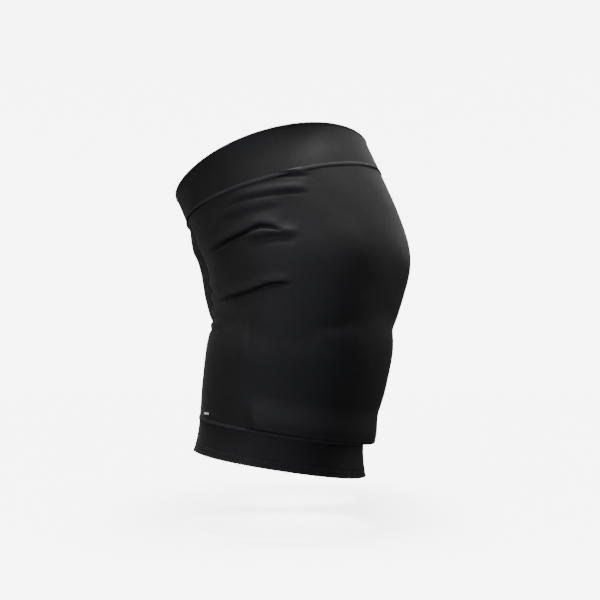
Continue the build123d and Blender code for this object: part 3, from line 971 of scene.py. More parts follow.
    def leg_panel(self, base: np.ndarray, side: Side) -> Sheet:
        """One leg panel, draped, with its lower edge tucked under to the cuff.

        Args:
            base: the left panel's points on the figure.
            side: the side to make.

        Returns:
            The panel as a sheet.
        """
        sheet = Sheet(f"{side.word}_leg_panel", base, KNIT_CLOTH, self.fabric, outward=self.leg_middle)
        draped = sheet.lifted(self.drape.lift(base, side)).grid
        nearest = self.cuff_ring(CUFF_SEAM, draped.shape[1] - 1, -0.5)
        nearest = np.concatenate([nearest, nearest[:1]])
        out = (nearest - np.array([self.cuff_x, self.cuff_y, 0.0])) * np.array([1.0, 1.0, 0.0])
        out = out / np.linalg.norm(out, axis=1, keepdims=True)
        push = np.clip(0.45 - np.sum((draped[-1] - nearest) * out, axis=1), 0.0, None)
        easing = smooth_step(np.linspace(-3.0, 1.0, draped.shape[0]))
        draped = draped + (easing[:, None] * push)[..., None] * out
        last = draped[-1]
        tucked = []
        for share in self.tuck:
            sag = np.array([0.0, 0.0, -self.tuck_sag * math.sin(math.pi * (share * 0.5 + 0.12))])
            tucked.append(last + (nearest - last) * np.array([share, share, share * 0.4]) + sag)
        grid = np.concatenate([draped, np.array(tucked)])
        self.edges[f"{side.word}_front"] = self.side_grid(draped[:, 0], side)
        self.edges[f"{side.word}_back"] = self.side_grid(draped[:, -1], side)
        x, y, z = self.leg_middle
        return replace(sheet, grid=self.side_grid(grid, side), outward=(x * side.value, y, z))

    def front_panel(self) -> Sheet:
        """The front panel, from under the waistband to under the crotch."""
        looks = [(z, 0.0) for z in np.linspace(self.panel_top, self.panel_turn, 34)]
        looks += [(self.panel_turn, pitch) for pitch in np.radians(np.linspace(4.0, 58.0, 14))]
        grid = []
        for z, pitch in looks:
            way = (0.0, -math.cos(pitch), -math.sin(pitch))
            half = self.panel_half(max(z - 60.0 * math.tan(pitch), self.panel_end)) + self.panel_overlap
            shares = np.linspace(-1.0, 1.0, 42)
            grid.append([self.form.hit((share * half, 0.0, z), way) for share in shares])
        fine = finer_both(np.array(grid), 2, 2)
        sheet = Sheet("front_panel", fine, KNIT_CLOTH, self.fabric, outward=(0.0, 60.0, -120.0))
        x, _, z = np.moveaxis(fine, 2, 0)
        pull = 1.1 * bump(z, -92.0, 14.0) * np.sin(0.16 * x + 0.08 * z)
        gather = 0.7 * bump(np.abs(x), 30.0, 14.0) * np.sin(0.38 * z)
        return sheet.lifted(pull + gather - 0.35)

    def gusset(self) -> Sheet:
        """The gusset under the crotch, a diamond that runs down each inner thigh."""
        grid = []
        tip_y, tip_z = self.gusset_tip
        start, end = self.gusset_ends
        for y in np.linspace(*self.gusset_run, 48):
            reach = (y - start) / (tip_y - start) if y < tip_y else (end - y) / (end - tip_y)
            low = -212.0 + (tip_z + 208.0) * min(1.0, reach)
            wing = [self.form.hit((0.0, y, z), (1.0, 0.0, 0.0)) for z in np.linspace(low, -214.0, 12)]
            edge = max(1.0, wing[-1][0] - 1.0)
            floor = [self.form.hit((x, y, -290.0), (0.0, 0.0, 1.0)) for x in np.linspace(edge, 0.0, 7)]
            half = np.array(wing + floor)
            mirror = (half * np.array([-1, 1, 1]))[::-1][1:]
            grid.append(np.concatenate([half, mirror]))
        fine = finer(np.array(grid), 2, False, 0)
        sheet = Sheet("crotch_gusset", fine, KNIT_CLOTH, self.fabric, outward=(0.0, 20.0, -150.0))
        return sheet.lifted(-0.6)

    def band_ring(self, level: Level) -> np.ndarray:
        """One loop of the torso at a level, from the left side round the back."""
        angles = 2 * np.pi * np.arange(self.band_columns) / self.band_columns
        return np.array([self.form.ring_point((0.0, 2.0), angle, level) for angle in angles])

    def band_grid(self, shares: np.ndarray) -> np.ndarray:
        """Points of the band on the torso.

        Args:
            shares: how far down the band each loop is, 0 at the waist and 1 at the band's seam.

        Returns:
            The points, with smooth in-between loops and columns.
        """
        return finer_both(np.array([self.band_ring(WAIST.toward(BAND_SEAM, s)) for s in shares]), 3, 4, True)

    def waistband(self) -> Sheet:
        """The outer knit of the waistband, a little fuller than the panels that it overlaps."""
        fine = self.band_grid(np.linspace(0.0, 1.03, 18))
        sheet = Sheet("waistband", fine, BAND_CLOTH, 1.1, True, outward=(0.0, 10.0, 0.0))
        down = np.linspace(0.0, 1.0, fine.shape[0])[:, None]
        x, y, _ = np.moveaxis(fine, 2, 0)
        roll = 0.5 * bump(down, 0.0, 0.035) - smooth_step((down - 0.975) / 0.02)
        pinch = -0.8 * bump(np.abs(x), 30.0, 9.0) * bump(down, 0.25, 0.25) * (y < 0)
        waves = 0.35 * np.sin(y * 0.12 + x * 0.05) * np.sin(np.pi * down)
        return sheet.lifted(0.35 + roll + 0.8 * pinch + waves)

    def waist_elastic(self) -> Sheet:
        """The elastic web inside the waistband, with raised edges and ribs."""
        fine = self.band_grid(np.linspace(0.07, 0.93, 16))
        sheet = Sheet("waist_elastic", fine, WEB_CLOTH, 1.2, True, outward=(0.0, 10.0, 0.0))
        down = np.linspace(0.0, 1.0, fine.shape[0])[:, None]
        return sheet.lifted(-0.7 + 0.12 * np.sin(down * 2 * np.pi * 12) * np.ones(fine.shape[1]))

    def cuff(self, side: Side) -> Sheet:
        """One cuff, drawn in under its seam and flaring to the hem."""
        rows = []
        for share in np.linspace(-0.04, 1.0, 22):
            level = CUFF_SEAM.toward(HEM, share)
            waist = -1.1 * math.sin(math.pi * min(1.0, max(0.0, share))) ** 0.8
            hem_roll = 0.5 * float(bump(share, 1.0, 0.05))
            hem_line = -0.35 * float(bump(share, 0.80, 0.012))
            rows.append(self.cuff_ring(level, self.cuff_columns, waist + hem_roll + hem_line))
        fine = finer_both(np.array(rows), 3, 2, True)
        x, y, z = np.moveaxis(fine, 2, 0)
        inner, low, front = (88.0 - x) / 60.0, (-285.0 - z) / 20.0, (30.0 - y) / 60.0
        fine[..., 2] -= self.cuff_front_drop * smooth_step(inner) * smooth_step(low) * smooth_step(front)
        grid = self.side_grid(fine, side)
        return Sheet(f"{side.word}_cuff", grid, CUFF_CLOTH, 1.5, True, outward=self.cuff_middle(side))

    def cuff_middle(self, side: Side) -> tuple[float, float, float]:
        """A point inside one cuff."""
        return (self.cuff_x * side.value, self.cuff_y, self.cuff_middle_z)

    def grip(self, side: Side) -> Sheet:
        """The wavy silicone strip inside one cuff."""
        levels = [CUFF_SEAM.toward(HEM, share) for share in np.linspace(0.36, 0.88, 14)]
        rows = [self.cuff_ring(level, self.cuff_columns, -2.4) for level in levels]
        fine = finer_both(np.array(rows), 3, 2, True)
        around = np.arange(fine.shape[1]) / fine.shape[1]
        down = np.linspace(0.0, 1.0, fine.shape[0])[:, None]
        wave = 0.3 * np.sin(2 * np.pi * (6 * down + 0.35 * np.sin(2 * np.pi * 60 * around)))
        grid, middle = self.side_grid(fine, side), self.cuff_middle(side)
        return Sheet(f"{side.word}_grip_strip", grid, SILICONE, 0.5, True, outward=middle).lifted(wave - 0.15)

    def patch(self, x_range: tuple[float, float], heights: tuple[float, float], way: float) -> np.ndarray:
        """Points of a small patch on the front or the back of the figure.

        Args:
            x_range: its left and right edges, in millimetres.
            heights: its top and bottom.
            way: -1 for the front, 1 for the back.

        Returns:
            The patch's grid.
        """
        across, down = np.linspace(*x_range, 15), np.linspace(*heights, 11)
        return np.array([[self.form.hit((x, 15.0, z), (0.0, way, 0.0)) for x in across] for z in down])

    def care_label(self) -> Sheet:
        """The blank label inside the back of the waistband, loose at its lower edge."""
        grid = self.patch((-15.0, 15.0), (21.0, 1.5), 1.0)
        sheet = Sheet("care_label", grid, LABEL_CLOTH, 0.5, outward=(0.0, 0.0, 10.0))
        down, across = (np.linspace(0.0, 1.0, count) for count in grid.shape[:2])
        curl = 1.2 * down[:, None] ** 2 * (1 + 0.4 * np.sin(5.0 * across))
        return sheet.lifted(-2.4 - curl)

    def loop_patch(self) -> Sheet:
        """Loop tape on the inside of the front panel."""
        fine = finer_both(self.patch((-28.0, 28.0), (-63.5, -82.0), -1.0), 3, 3)
        return Sheet("loop_patch", fine, TAPE_CLOTH, 0.9, outward=(0.0, 60.0, -70.0)).lifted(-1.5)

    def hem_tab(self) -> Sheet:
        """The small blank tab at the front of the left cuff's seam."""
        fine = finer_both(self.patch((128.0, 136.0), (-267.6, -269.4), -1.0), 2, 2)
        return Sheet("hem_tab", fine, LABEL_CLOTH, 0.7, outward=(90.0, 60.0, -270.0)).lifted(1.3)


def declare_cloth(sheet: Sheet) -> None:
    """Join a closed sheet's first column onto the end of its grid; nothing is done with the result.

    Args:
        sheet: the sheet.
    """
    grid = sheet.grid
    if sheet.closed:
        grid = np.concatenate([grid, grid[:, :1]], axis=1)


# ---- stitches ---------------------------------------------------------------------------------
@dataclass(frozen=True)
class Stitch:
    """A stitch that repeats along a seam, in millimetres.

    Attributes:
        name: the stitch's name.
        spacing: how far apart the stitches are.
        length: how long each thread is.
        thread: the thread's radius.
        slant: how far it leans from straight across, in degrees.
        crossed: whether each stitch is two threads that cross.
    """

    name: str
    spacing: float = 2.6
    length: float = 5.0
    thread: float = 0.42
    slant: float = 34.0
    crossed: bool = True

    def tree(self) -> bpy.types.NodeTree:
        """The node tree that lays the stitches along a line of points.

        Returns:
            A tree whose inputs are the line, the spacing, the thread's length, radius and slant,
            and the material.
        """
        if self.name in bpy.data.node_groups:
            return bpy.data.node_groups[self.name]
        tree = bpy.data.node_groups.new(self.name, "GeometryNodeTree")
        sockets = tree.interface
        sockets.new_socket("Line", in_out="INPUT", socket_type="NodeSocketGeometry")
        for label in ("Spacing", "Length", "Thread", "Slant"):
            sockets.new_socket(label, in_out="INPUT", socket_type="NodeSocketFloat")
        sockets.new_socket("Material", in_out="INPUT", socket_type="NodeSocketMaterial")
        sockets.new_socket("Stitches", in_out="OUTPUT", socket_type="NodeSocketGeometry")
        n = Nodes(tree)
        given, result = n.add("NodeGroupInput"), n.add("NodeGroupOutput")
        curve = n.add("GeometryNodeMeshToCurve")
        n.join(given.outputs["Line"], curve.inputs["Mesh"])
        even = n.add("GeometryNodeResampleCurve")
        even.mode = "LENGTH"
        n.join(curve.outputs["Curve"], even.inputs["Curve"])
        n.join(given.outputs["Spacing"], even.inputs["Length"])
        tangent = n.add("GeometryNodeInputTangent")
        out = n.add("GeometryNodeInputNamedAttribute", data_type="FLOAT_VECTOR")
        out.inputs["Name"].default_value = "out"
        along = n.add("FunctionNodeAlignRotationToVector", axis="X", pivot_axis="AUTO")
        n.join(tangent.outputs["Tangent"], along.inputs["Vector"])
        facing = n.add("FunctionNodeAlignRotationToVector", axis="Z", pivot_axis="X")
        n.join(along.outputs["Rotation"], facing.inputs["Rotation"])
        n.join(out.outputs["Attribute"], facing.inputs["Vector"])
        strands = n.add("GeometryNodeJoinGeometry")
        for turn in (1.0, -1.0) if self.crossed else (1.0,):
            bead = n.add("GeometryNodeMeshIcoSphere")
            bead.inputs["Subdivisions"].default_value = 2
            bead.inputs["Radius"].default_value = 1.0
            size = n.add("ShaderNodeCombineXYZ")
            n.join(given.outputs["Thread"], size.inputs["X"])
            n.join(n.math("MULTIPLY", given.outputs["Length"], 0.5), size.inputs["Y"])
            n.join(given.outputs["Thread"], size.inputs["Z"])
            angle = n.add("ShaderNodeCombineXYZ")
            n.join(n.math("MULTIPLY", given.outputs["Slant"], turn), angle.inputs["Z"])
            placed = n.add("GeometryNodeTransform")
            n.join(bead.outputs["Mesh"], placed.inputs["Geometry"])
            n.join(size.outputs["Vector"], placed.inputs["Scale"])
            n.join(angle.outputs["Vector"], placed.inputs["Rotation"])
            n.join(placed.outputs["Geometry"], strands.inputs["Geometry"])
        repeat = n.add("GeometryNodeInstanceOnPoints")
        n.join(even.outputs["Curve"], repeat.inputs["Points"])
        n.join(strands.outputs["Geometry"], repeat.inputs["Instance"])
        n.join(facing.outputs["Rotation"], repeat.inputs["Rotation"])
        real = n.add("GeometryNodeRealizeInstances")
        n.join(repeat.outputs["Instances"], real.inputs["Geometry"])
        dressed = n.add("GeometryNodeSetMaterial")
        n.join(real.outputs["Geometry"], dressed.inputs["Geometry"])
        n.join(given.outputs["Material"], dressed.inputs["Material"])
        n.join(dressed.outputs["Geometry"], result.inputs["Stitches"])
        return tree

    def along(self, path: np.ndarray, out: np.ndarray, closed: bool) -> bpy.types.Mesh:
        """Lay the stitches along a path.

        Args:
            path: the path's points, in millimetres.
            out: the direction away from the cloth at each point.
            closed: whether the path joins its start.

        Returns:
            The stitches as a plain mesh.
        """
        count = len(path)
        line = bpy.data.meshes.new("line")
        edges = [(i, (i + 1) % count) for i in range(count if closed else count - 1)]
        line.from_pydata((path * MM).tolist(), edges, [])
        attribute = line.attributes.new("out", "FLOAT_VECTOR", "POINT")
        attribute.data.foreach_set("vector", out.ravel().astype(np.float32))
        carrier = new_object("line", line)
        modifier = carrier.modifiers.new("stitches", "NODES")
        modifier.node_group = self.tree()
        sizes = {
            "Spacing": self.spacing * MM,
            "Length": self.length * MM,
            "Thread": self.thread * MM,
            "Slant": math.radians(self.slant),
            "Material": THREAD.material(),
        }
        for item in modifier.node_group.interface.items_tree:
            if item.in_out == "INPUT" and item.name in sizes:
                modifier[item.identifier] = sizes[item.name]
        bpy.context.view_layer.update()
        graph = bpy.context.evaluated_depsgraph_get()
        made = bpy.data.meshes.new_from_object(carrier.evaluated_get(graph))
        bpy.data.objects.remove(carrier)
        return made


FLATLOCK = Stitch("flatlock")
TOPSTITCH = Stitch("topstitch", 3.0, 2.2, 0.34, 90.0, False)
PICOT = Stitch("picot", 2.1, 2.0, 0.55, 28.0, False)


@dataclass
class Seam:
    """A seam: a low ribbon of threads with stitches over it, along a path in millimetres.

    Attributes:
        name: the seam's name.
        path: its points.
        centre: a point on the wearer's side of it.
        stitch: the stitch over it.
        width: the ribbon's width; 0 leaves the ribbon out.
        rise: how high it stands off the path.
        closed: whether it joins its start.
    """

    name: str
    path: np.ndarray
    centre: tuple[float, float, float]
    stitch: Stitch
    width: float = 5.6
    rise: float = 0.55
    closed: bool = False

    def directions(self) -> tuple[np.ndarray, np.ndarray]:
        """Outward and sideways directions at each point of the path."""
        if self.closed:
            along = np.roll(self.path, -1, axis=0) - np.roll(self.path, 1, axis=0)
        else:
            along = np.gradient(self.path, axis=0)
        along = along / np.linalg.norm(along, axis=1, keepdims=True)
        out = self.path - np.array(self.centre)
        out = out - np.sum(out * along, axis=1, keepdims=True) * along
        out = out / np.linalg.norm(out, axis=1, keepdims=True)
        return out, np.cross(along, out)

    def object(self) -> bpy.types.Object:
        """Make the seam's ribbon and stitches as one piece."""
        out, side = self.directions()
        made = bmesh.new()
        if self.width > 0.0:
            shares = np.linspace(-0.5, 0.5, 9)[:, None, None]
            hump = self.rise * np.sqrt(1.0 - (2 * shares) ** 2 * 0.96) - 0.25
            rows = self.path + side * (shares * self.width) + out * hump
            made.from_mesh(Sheet(self.name, rows, THREAD, 0.3, self.closed, self.centre).mesh())
        made.from_mesh(self.stitch.along(self.path + out * (self.rise + 0.05), out, self.closed))
        mesh = bpy.data.meshes.new(f"{self.name}_stitching")
        made.to_mesh(mesh)
        made.free()
        mesh.materials.append(THREAD.material())
        mesh.polygons.foreach_set("material_index", np.zeros(len(mesh.polygons), dtype=np.int32))
        mesh.shade_smooth()
        return new_object(f"{self.name}_stitching", mesh)


# ---- pocket, flap and cup, in the cup's leaning plane -----------------------------------------
@dataclass
class CupPocket:
    """The pocket behind the front panel, with its flap, and the cup that it holds.

    Its sizes are in millimetres, and y and z are measured in the plane of the cup's rim, which leans
    forward by some degrees round the origin.
    """

    form: BodyForm
    origin: tuple[float, float, float] = (0.0, -37.81, -120.53)
    lean: float = 10.0
    cup_height: float = 122.0
    cup_half: float = 45.0
    cup_depth: float = 38.0
    wall: float = 3.0
    pad: float = 2.5
    toe: float = 0.55
    pocket_half: float = 47.1
    pocket_round: float = 66.0
    shoulder: float = 3.0
    back: float = 8.2
    mouth: float = 66.0
    binding: float = 8.0
    pin: tuple[float, float] = (9.9, 68.6)
    flap_length: float = 49.1
    flap_tip: float = 13.0
    flap_half: float = 36.0
    flap_corner: float = 2.2
    tape_half: float = 28.0

    def placed(self, grid: np.ndarray) -> np.ndarray:
        """Points of the cup's plane in the garment's frame."""
        c, s = math.cos(math.radians(self.lean)), math.sin(math.radians(self.lean))
        x, y, z = np.moveaxis(grid, -1, 0)
        turned = np.stack([x, y * c - z * s, y * s + z * c], axis=-1)
        return turned + np.array(self.origin)

    def half_width(self, z: np.ndarray) -> np.ndarray:
        """Half the pocket's width at a height in its plane."""
        low = np.clip((self.shoulder - z) / self.pocket_round, 0.0, 1.0)
        return self.pocket_half * (1.0 - low**2.4) ** (1 / 1.7)

    def back_sheet(self) -> Sheet:
        """The pocket's mesh back."""
        top = self.mouth - self.binding
        heights = self.shoulder - 65.4 * np.sin(np.linspace(-1.1, math.pi / 2, 60))
        heights = np.concatenate([[top], heights[heights < top]])
        across = np.linspace(-1.0, 1.0, 45)
        z = heights[:, None] * np.ones(len(across))
        x = self.half_width(z) * across
        sag = 0.45 * np.cos(across * math.pi / 2) * np.sin((z + 62.0) / 125.0 * math.pi)
        grid = np.stack([x, self.back + 0.9 + sag + 0.12 * np.sin(0.3 * x + 0.2 * z), z], axis=-1)
        return Sheet("pocket_back", self.placed(grid), MESH_CLOTH, 0.8, outward=(0.0, -90.0, -120.0))

    def wall_strip(self) -> Sheet:
        """The pocket's side strip, from its back to the front panel."""
        turn = np.linspace(0.0, math.pi / 2, 22)[1:]
        z = np.concatenate([
            np.linspace(self.mouth, 6.0, 14),
            self.shoulder - self.pocket_round * np.sin(turn),
        ])
        half = np.stack([self.half_width(z), z], axis=1)
        u_line = np.concatenate([half, (half * np.array([-1, 1]))[::-1][1:]])
        c, s = math.cos(math.radians(self.lean)), math.sin(math.radians(self.lean))
        grid = []
        for x, z in u_line:
            start = self.placed(np.array([x * 0.995, self.back + 0.6, z]))
            hit = self.form.hit(tuple(start), (0.0, -c, -s))
            depth = float(np.linalg.norm(hit - start)) - 1.6
            grid.append([(x, self.back + 0.6 - depth * share, z) for share in np.linspace(0.0, 1.0, 24)])
        points = np.array(grid)
        ripple = 0.35 * np.sin(points[..., 1] * 0.5) * np.sin(points[..., 2] * 0.11)
        points[..., 0] += ripple * np.sign(points[..., 0])
        fine = finer(points, 2, False, 0)
        return Sheet("pocket_wall", self.placed(fine), MESH_CLOTH, 0.8, outward=(0.0, -75.0, -115.0))

    def binding_strip(self) -> Sheet:
        """The elastic edge of the pocket's mouth, folded over the mesh."""
        across = np.linspace(-self.pocket_half, self.pocket_half, 90)
        foot, top, half, fold = self.mouth - self.binding, self.mouth - 1.0, 0.75, self.back + 0.5
        turn = np.linspace(0.4, math.pi - 0.4, 6)
        line = [(fold + half, z) for z in np.linspace(foot, top, 11)]
        line += [(fold + half * math.cos(t), top + half * math.sin(t)) for t in turn]
        line += [(fold - half, z) for z in np.linspace(top, foot, 11)]
        same = np.ones_like(across)
        rows = [np.stack([across, y * same, z * same], axis=-1) for y, z in line]
        middle = tuple(self.placed(np.array([0.0, fold, (foot + top) / 2])))
        return Sheet("pocket_binding", self.placed(np.array(rows)), WEB_CLOTH, 0.5, outward=middle)

    def flap_profile(self) -> np.ndarray:
        """The open flap's line in its plane, (y, z): down the pocket's back, then out."""
        y, z = self.pin[0] + 0.1, self.pin[1]
        foot, corner = z - self.flap_length, self.flap_corner
        turn = np.linspace(0.25, math.pi / 2, 6)
        down = [(y, z - t) for t in np.linspace(0.3, self.flap_length - corner, 26)]
        bend = [(y + corner - corner * math.cos(t), foot + corner - corner * math.sin(t)) for t in turn]
        out = [(y + t, foot) for t in np.linspace(corner + 0.8, self.flap_tip, 9)]
        return np.array(down + bend + out)

    def flap_sheet(self) -> Sheet:
        """The pocket's flap, hanging open."""
        profile = finer(self.flap_profile()[:, None, :], 2, False, 0)[:, 0, :]
        across = np.linspace(-1.0, 1.0, 49)
        rows = []
        for k, (y, z) in enumerate(profile):
            share = k / (len(profile) - 1)
            half = self.flap_half - 5.0 * max(0.0, share - 0.86) ** 2 / 0.02
            wave = 0.18 * np.sin(9.0 * across) * math.sin(math.pi * share)
            rows.append(np.stack([across * half, y + wave + 0.2, np.full_like(across, z)], axis=-1))
        centre = tuple(self.placed(np.array([0.0, 40.0, 60.0])))
        return Sheet("pocket_flap", self.placed(np.array(rows)), MESH_CLOTH, 1.2, outward=centre)

    def tape_sheet(self) -> Sheet:
        """Hook tape under the flap's turned end."""
        y, z = self.pin
        low = z - self.flap_length - 0.1
        across = np.linspace(-self.tape_half, self.tape_half, 113)
        deep = np.linspace(self.flap_corner, self.flap_tip - 0.6, 24)
        x, out = np.meshgrid(across, y + deep, indexing="xy")
        grid = np.stack([x, out, np.full_like(x, low)], axis=-1)
        hooks = 0.22 * np.abs(np.sin(across * 2.2))[None, :] * np.abs(np.sin(deep * 2.6))[:, None]
        grid[..., 2] -= 0.6 + hooks
        centre = tuple(self.placed(np.array([0.0, y + 6.0, z])))
        return Sheet("flap_hook_tape", self.placed(grid), TAPE_CLOTH, 0.55, outward=centre)

    def outline(self, angle: np.ndarray) -> tuple[np.ndarray, np.ndarray]:
        """The cup's teardrop outline.

        Args:
            angle: directions round it, in radians.

        Returns:
            The x and z of its points.
        """
        c, s = np.cos(angle), np.sin(angle)
        narrow = 1.0 + (self.toe - 1.0) * np.clip((0.35 - s) / 1.35, 0.0, None) ** 1.3
        x = self.cup_half * np.sign(c) * np.abs(c) ** 0.85 * narrow
        return x, self.cup_height / 2 * np.sign(s) * np.abs(s) ** 0.92

    def pad_sheet(self) -> Sheet:
        """Soft padding inside the cup's side, open over the air holes."""
        x, z = self.outline(2 * np.pi * np.arange(144) / 144)
        depth = self.cup_depth - self.wall
        rows = []
        for share in np.linspace(0.13, 0.68, 34):
            scale = (1.0 - share**2.3) ** (1 / 2.3)
            factor = scale - (self.wall + 0.3) * scale / np.hypot(x, z)
            rows.append(np.stack([x * factor, np.full_like(x, -depth * share), z * factor], axis=-1))
        fine = finer(np.array(rows), 2, False, 0)
        centre = tuple(self.placed(np.array([0.0, 10.0, 0.0])))
        return Sheet("cup_pad", self.placed(fine), FOAM, self.pad, True, outward=centre)


WHITE = (1.0, 1.0, 1.0)
WARM = (1.0, 0.93, 0.86)
COOL = (0.94, 0.96, 1.0)


@dataclass(frozen=True)
class Lamp:
    """A soft square or oblong light: its place and size in metres, its watts and its colour."""

    name: str
    place: tuple[float, float, float]
    size: tuple[float, float]
    power: float
    tint: tuple[float, float, float]

    def hang(self, aim: Vector) -> None:
        """Hang the light so that it faces a point."""
        lamp = bpy.data.lights.new(self.name, "AREA")
        lamp.shape = "RECTANGLE"
        lamp.size, lamp.size_y = self.size
        lamp.energy = self.power
        lamp.color = self.tint
        hung = bpy.data.objects.new(self.name, lamp)
        bpy.context.scene.collection.objects.link(hung)
        hung.location = self.place
        hung.rotation_euler = (aim - Vector(self.place)).to_track_quat("-Z", "Y").to_euler()


@dataclass
class Studio:
    """The floor, the soft lights and the camera, in metres and degrees."""

    floor_drop: float = 0.050
    floor_rings: tuple[float, ...] = (0.5, 1.2, 2.4, 3.2)
    cove: float = 1.2
    wall_height: float = 6.0
    wall_sides: int = 64
    paper_shade: float = 0.8
    paper_radiance: float = 7.0
    room_light: float = 0.12
    top: Lamp = Lamp("top", (0.0, 0.0, 2.4), (1.3, 1.3), 270.0, WHITE)
    lamps: tuple[Lamp, ...] = (
        Lamp("key", (1.2, -0.5, 1.5), (1.2, 1.2), 6.0, (1.0, 0.99, 0.98)),
        Lamp("fill", (1.75, -0.55, -0.05), (1.6, 1.6), 36.0, COOL),
        Lamp("front_rim", (0.1, -1.5, 0.1), (0.5, 1.6), 5.0, WARM),
        Lamp("back_rim", (-0.1, 1.5, 0.1), (0.5, 1.6), 8.0, WARM),
    )
    aim: tuple[float, float, float] = (0.0, 0.01, -0.16)
    camera_at: tuple[float, float, float] = (1.0, 0.03079, -0.21668)
    pitch: float = 4.0
    lens: float = 52.3
    sensor: float = 36.0

    def backdrop(self, low: float) -> bpy.types.Object:
        """A pale floor that curves up into a wall on every side.

        Args:
            low: the floor's height, in metres.

        Returns:
            The backdrop.
        """
        shell = bmesh.new()
        flat, cove, sides = self.floor_rings[-1], self.cove, self.wall_sides
        profile = [(radius, 0.0) for radius in self.floor_rings]
        for t in np.linspace(0.15, math.pi / 2, 9):
            profile.append((flat + cove * math.sin(t), cove - cove * math.cos(t)))
        profile.append((flat + cove, self.wall_height))
        ways = [(math.cos(2 * math.pi * k / sides), math.sin(2 * math.pi * k / sides)) for k in range(sides)]
        rings = [[shell.verts.new((r * c, r * s, low + height)) for c, s in ways] for r, height in profile]
        middle = shell.verts.new((0.0, 0.0, low))
        for k in range(sides):
            after = (k + 1) % sides
            shell.faces.new((middle, rings[0][k], rings[0][after]))
            for inner, outer in zip(rings, rings[1:]):
                shell.faces.new((inner[k], outer[k], outer[after], inner[after]))
        mesh = bpy.data.meshes.new("backdrop")
        shell.to_mesh(mesh)
        shell.free()
        mesh.shade_smooth()
        mesh.materials.append(self.paper(low))
        made = new_object("backdrop", mesh)
        made.visible_diffuse = False
        made.visible_glossy = False
        return made

    def paper(self, low: float) -> bpy.types.Material:
        """The backdrop's matte pale paper, evenly bright: it glows where the top light fades.

        Args:
            low: the floor's height, in metres.

        Returns:
            The material.
        """
        made = bpy.data.materials.new("backdrop_paper")
        made.use_nodes = True
        surface = made.node_tree.nodes["Principled BSDF"]
        surface.inputs["Base Color"].default_value = (self.paper_shade,) * 3 + (1.0,)
        surface.inputs["Roughness"].default_value = 1.0
        surface.inputs["Specular IOR Level"].default_value = 0.0
        surface.inputs["Emission Color"].default_value = (*WHITE, 1.0)
        above = self.top.place[2] - low
        lit = self.paper_shade * self.top.power / (math.pi * above) ** 2
        n = Nodes(made.node_tree)
        place = n.add("ShaderNodeTexCoord")
        split = n.add("ShaderNodeSeparateXYZ")
        n.join(place.outputs["Object"], split.inputs[0])
        x, y = split.outputs["X"], split.outputs["Y"]
        reach = n.math("ADD", n.math("MULTIPLY", x, x), n.math("MULTIPLY", y, y))
        share = n.math("DIVIDE", above**2, n.math("ADD", reach, above**2))
        lamp = n.math("MULTIPLY", n.math("MULTIPLY", share, share), lit)
        n.join(n.math("SUBTRACT", self.paper_radiance, lamp), surface.inputs["Emission Strength"])
        return made

    def build(self, low: float) -> None:
        """Set up floor, lights and camera.

        Args:
            low: the height of the object's lowest point, in metres.
        """
        self.backdrop(low - self.floor_drop)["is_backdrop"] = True
        for lamp in (*self.lamps, self.top):
            lamp.hang(Vector(self.aim))
            LOG.info("%s light: %.0f W", lamp.name, lamp.power)
        world = bpy.data.worlds.new("soft_room")
        world.use_nodes = True
        room = world.node_tree.nodes["Background"]
        room.inputs["Color"].default_value = (*WHITE, 1.0)
        room.inputs["Strength"].default_value = self.room_light
        bpy.context.scene.world = world
        camera = bpy.data.cameras.new("camera")
        camera.lens = self.lens
        camera.sensor_width = self.sensor
        held = bpy.data.objects.new("camera", camera)
        bpy.context.scene.collection.objects.link(held)
        held.location = self.camera_at
        held.rotation_euler = (math.radians(90.0 + self.pitch), 0.0, math.radians(90.0))
        bpy.context.scene.camera = held


# ---- putting it together ----------------------------------------------------------------------
def add_sheet(sheet: Sheet, body: str, slot: str, *nodes: str) -> bpy.types.Object:
    """Args:
        sheet: the sheet.
        body: the body that it rides.
        slot: its finish slot; not used.
        *nodes: the nodes that it stands for; its own name if none is given.

    Returns:
        The piece.
    """
    piece = fit_out(sheet.object(), body, slot, *(nodes or (sheet.name,)))
    declare_cloth(sheet)
    return piece


def build_garment(form: BodyForm) -> None:
    """Build what is sewn into the shorts."""
    shorts = Shorts(form)
    base = shorts.leg_grid()
    for side in Side:
        add_sheet(shorts.leg_panel(base, side), "garment", "knit")
        add_sheet(shorts.cuff(side), "garment", "band")
        fit_out(shorts.grip(side).object(), "garment", "grip", f"{side.word}_grip_strip")
    add_sheet(shorts.front_panel(), "garment", "knit")
    add_sheet(shorts.gusset(), "garment", "knit")
    band = shorts.waistband()
    add_sheet(band, "garment", "band")
    add_sheet(shorts.waist_elastic(), "garment", "elastic")
    add_sheet(shorts.care_label(), "garment", "label")
    add_sheet(shorts.loop_patch(), "garment", "tape")
    fit_out(shorts.hem_tab().object(), "garment", "label", "hem_tab")
    build_seams(shorts, band)


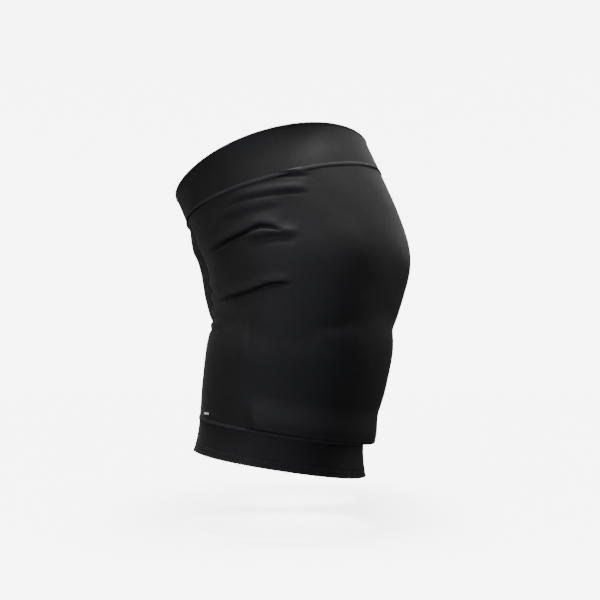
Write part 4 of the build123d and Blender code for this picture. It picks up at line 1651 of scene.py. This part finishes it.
def build_seams(shorts: Shorts, band: Sheet) -> None:
    """Build the seams, the hems' stitching and the waistband's picot edge."""
    crotch = shorts.torso_rows * shorts.finer_steps
    hips = (0.0, 20.0, -100.0)
    around = band.grid[int(band.grid.shape[0] * 0.935)]
    waist = Seam("waist_seam", around, hips, FLATLOCK, 5.0, -0.1, True)
    fit_out(waist.object(), "garment", "thread", waist.name)
    edge = band.grid[0] + np.array([0.0, 0.0, 0.35])
    fit_out(Seam("waist_picot", edge, hips, PICOT, 0.0, -0.6, True).object(), "garment", "band")
    back = Seam("back_seam", shorts.edges["left_back"][3 : crotch - 9], (0.0, 20.0, -110.0), FLATLOCK)
    fit_out(back.object(), "garment", "thread", back.name)
    for side in Side:
        line = shorts.edges[f"{side.word}_front"]
        joint, hip = crotch + 2, (20.0 * side.value, 20.0, -120.0)
        front = Seam(f"{side.word}_front_seam", line[10:joint], hip, FLATLOCK, 5.0)
        fit_out(front.object(), "garment", "thread", front.name)
        x = shorts.cuff_x * side.value
        inseam = Seam(f"{side.word}_inseam", line[joint:-2], (x, 15.0, -240.0), FLATLOCK, 5.0)
        fit_out(inseam.object(), "garment", "thread")
        leg = (x, shorts.cuff_y, -290.0)
        ring = cuff_line(shorts, side, 0.06, 0.1)
        joined = Seam(f"{side.word}_cuff_seam", ring, leg, FLATLOCK, 4.0, 0.0, True)
        fit_out(joined.object(), "garment", "thread", joined.name)
        for k, share in enumerate((0.78, 0.82)):
            ring = cuff_line(shorts, side, share, -0.95)
            hem = Seam(f"{side.word}_hem_stitch_{k + 1}", ring, leg, TOPSTITCH, 0.0, 0.1, True)
            fit_out(hem.object(), "garment", "thread")


def cuff_line(shorts: Shorts, side: Side, share: float, grow: float) -> np.ndarray:
    """A stitching line round a cuff.

    Args:
        shorts: the shorts.
        side: the side of the cuff.
        share: how far down the cuff it is, from 0 to 1.
        grow: how far off the cuff's own line it is, in millimetres.

    Returns:
        The line's points.
    """
    return shorts.side_grid(shorts.cuff_ring(CUFF_SEAM.toward(HEM, share), 240, grow), side)


def build_pocket(form: BodyForm) -> None:
    """Build the pocket, its flap and the cup's padding, and finish the cup."""
    pocket = CupPocket(form)
    add_sheet(pocket.back_sheet(), "garment", "mesh")
    add_sheet(pocket.wall_strip(), "garment", "mesh")
    add_sheet(pocket.binding_strip(), "garment", "elastic")
    add_sheet(pocket.flap_sheet(), "flap", "mesh")
    add_sheet(pocket.tape_sheet(), "flap", "tape")
    fit_out(pocket.pad_sheet().object(), "cup", "pad", "cup_pad")
    for node, finish in (("cup_shell", SHELL), ("cup_rim", RUBBER)):
        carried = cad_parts[node]
        carried.data.materials.clear()
        carried.data.materials.append(finish.material())
        LOG.info("%s keeps its shape and gets %s", node, finish.name)


def main() -> None:
    """Build every piece in order."""
    logging.basicConfig(level=logging.INFO, format="%(message)s")
    form = BodyForm()
    form.build()
    build_garment(form)
    build_pocket(form)
    lowest = float(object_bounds()[0][2])
    Studio().build(lowest)


if __name__ == "__main__":
    main()
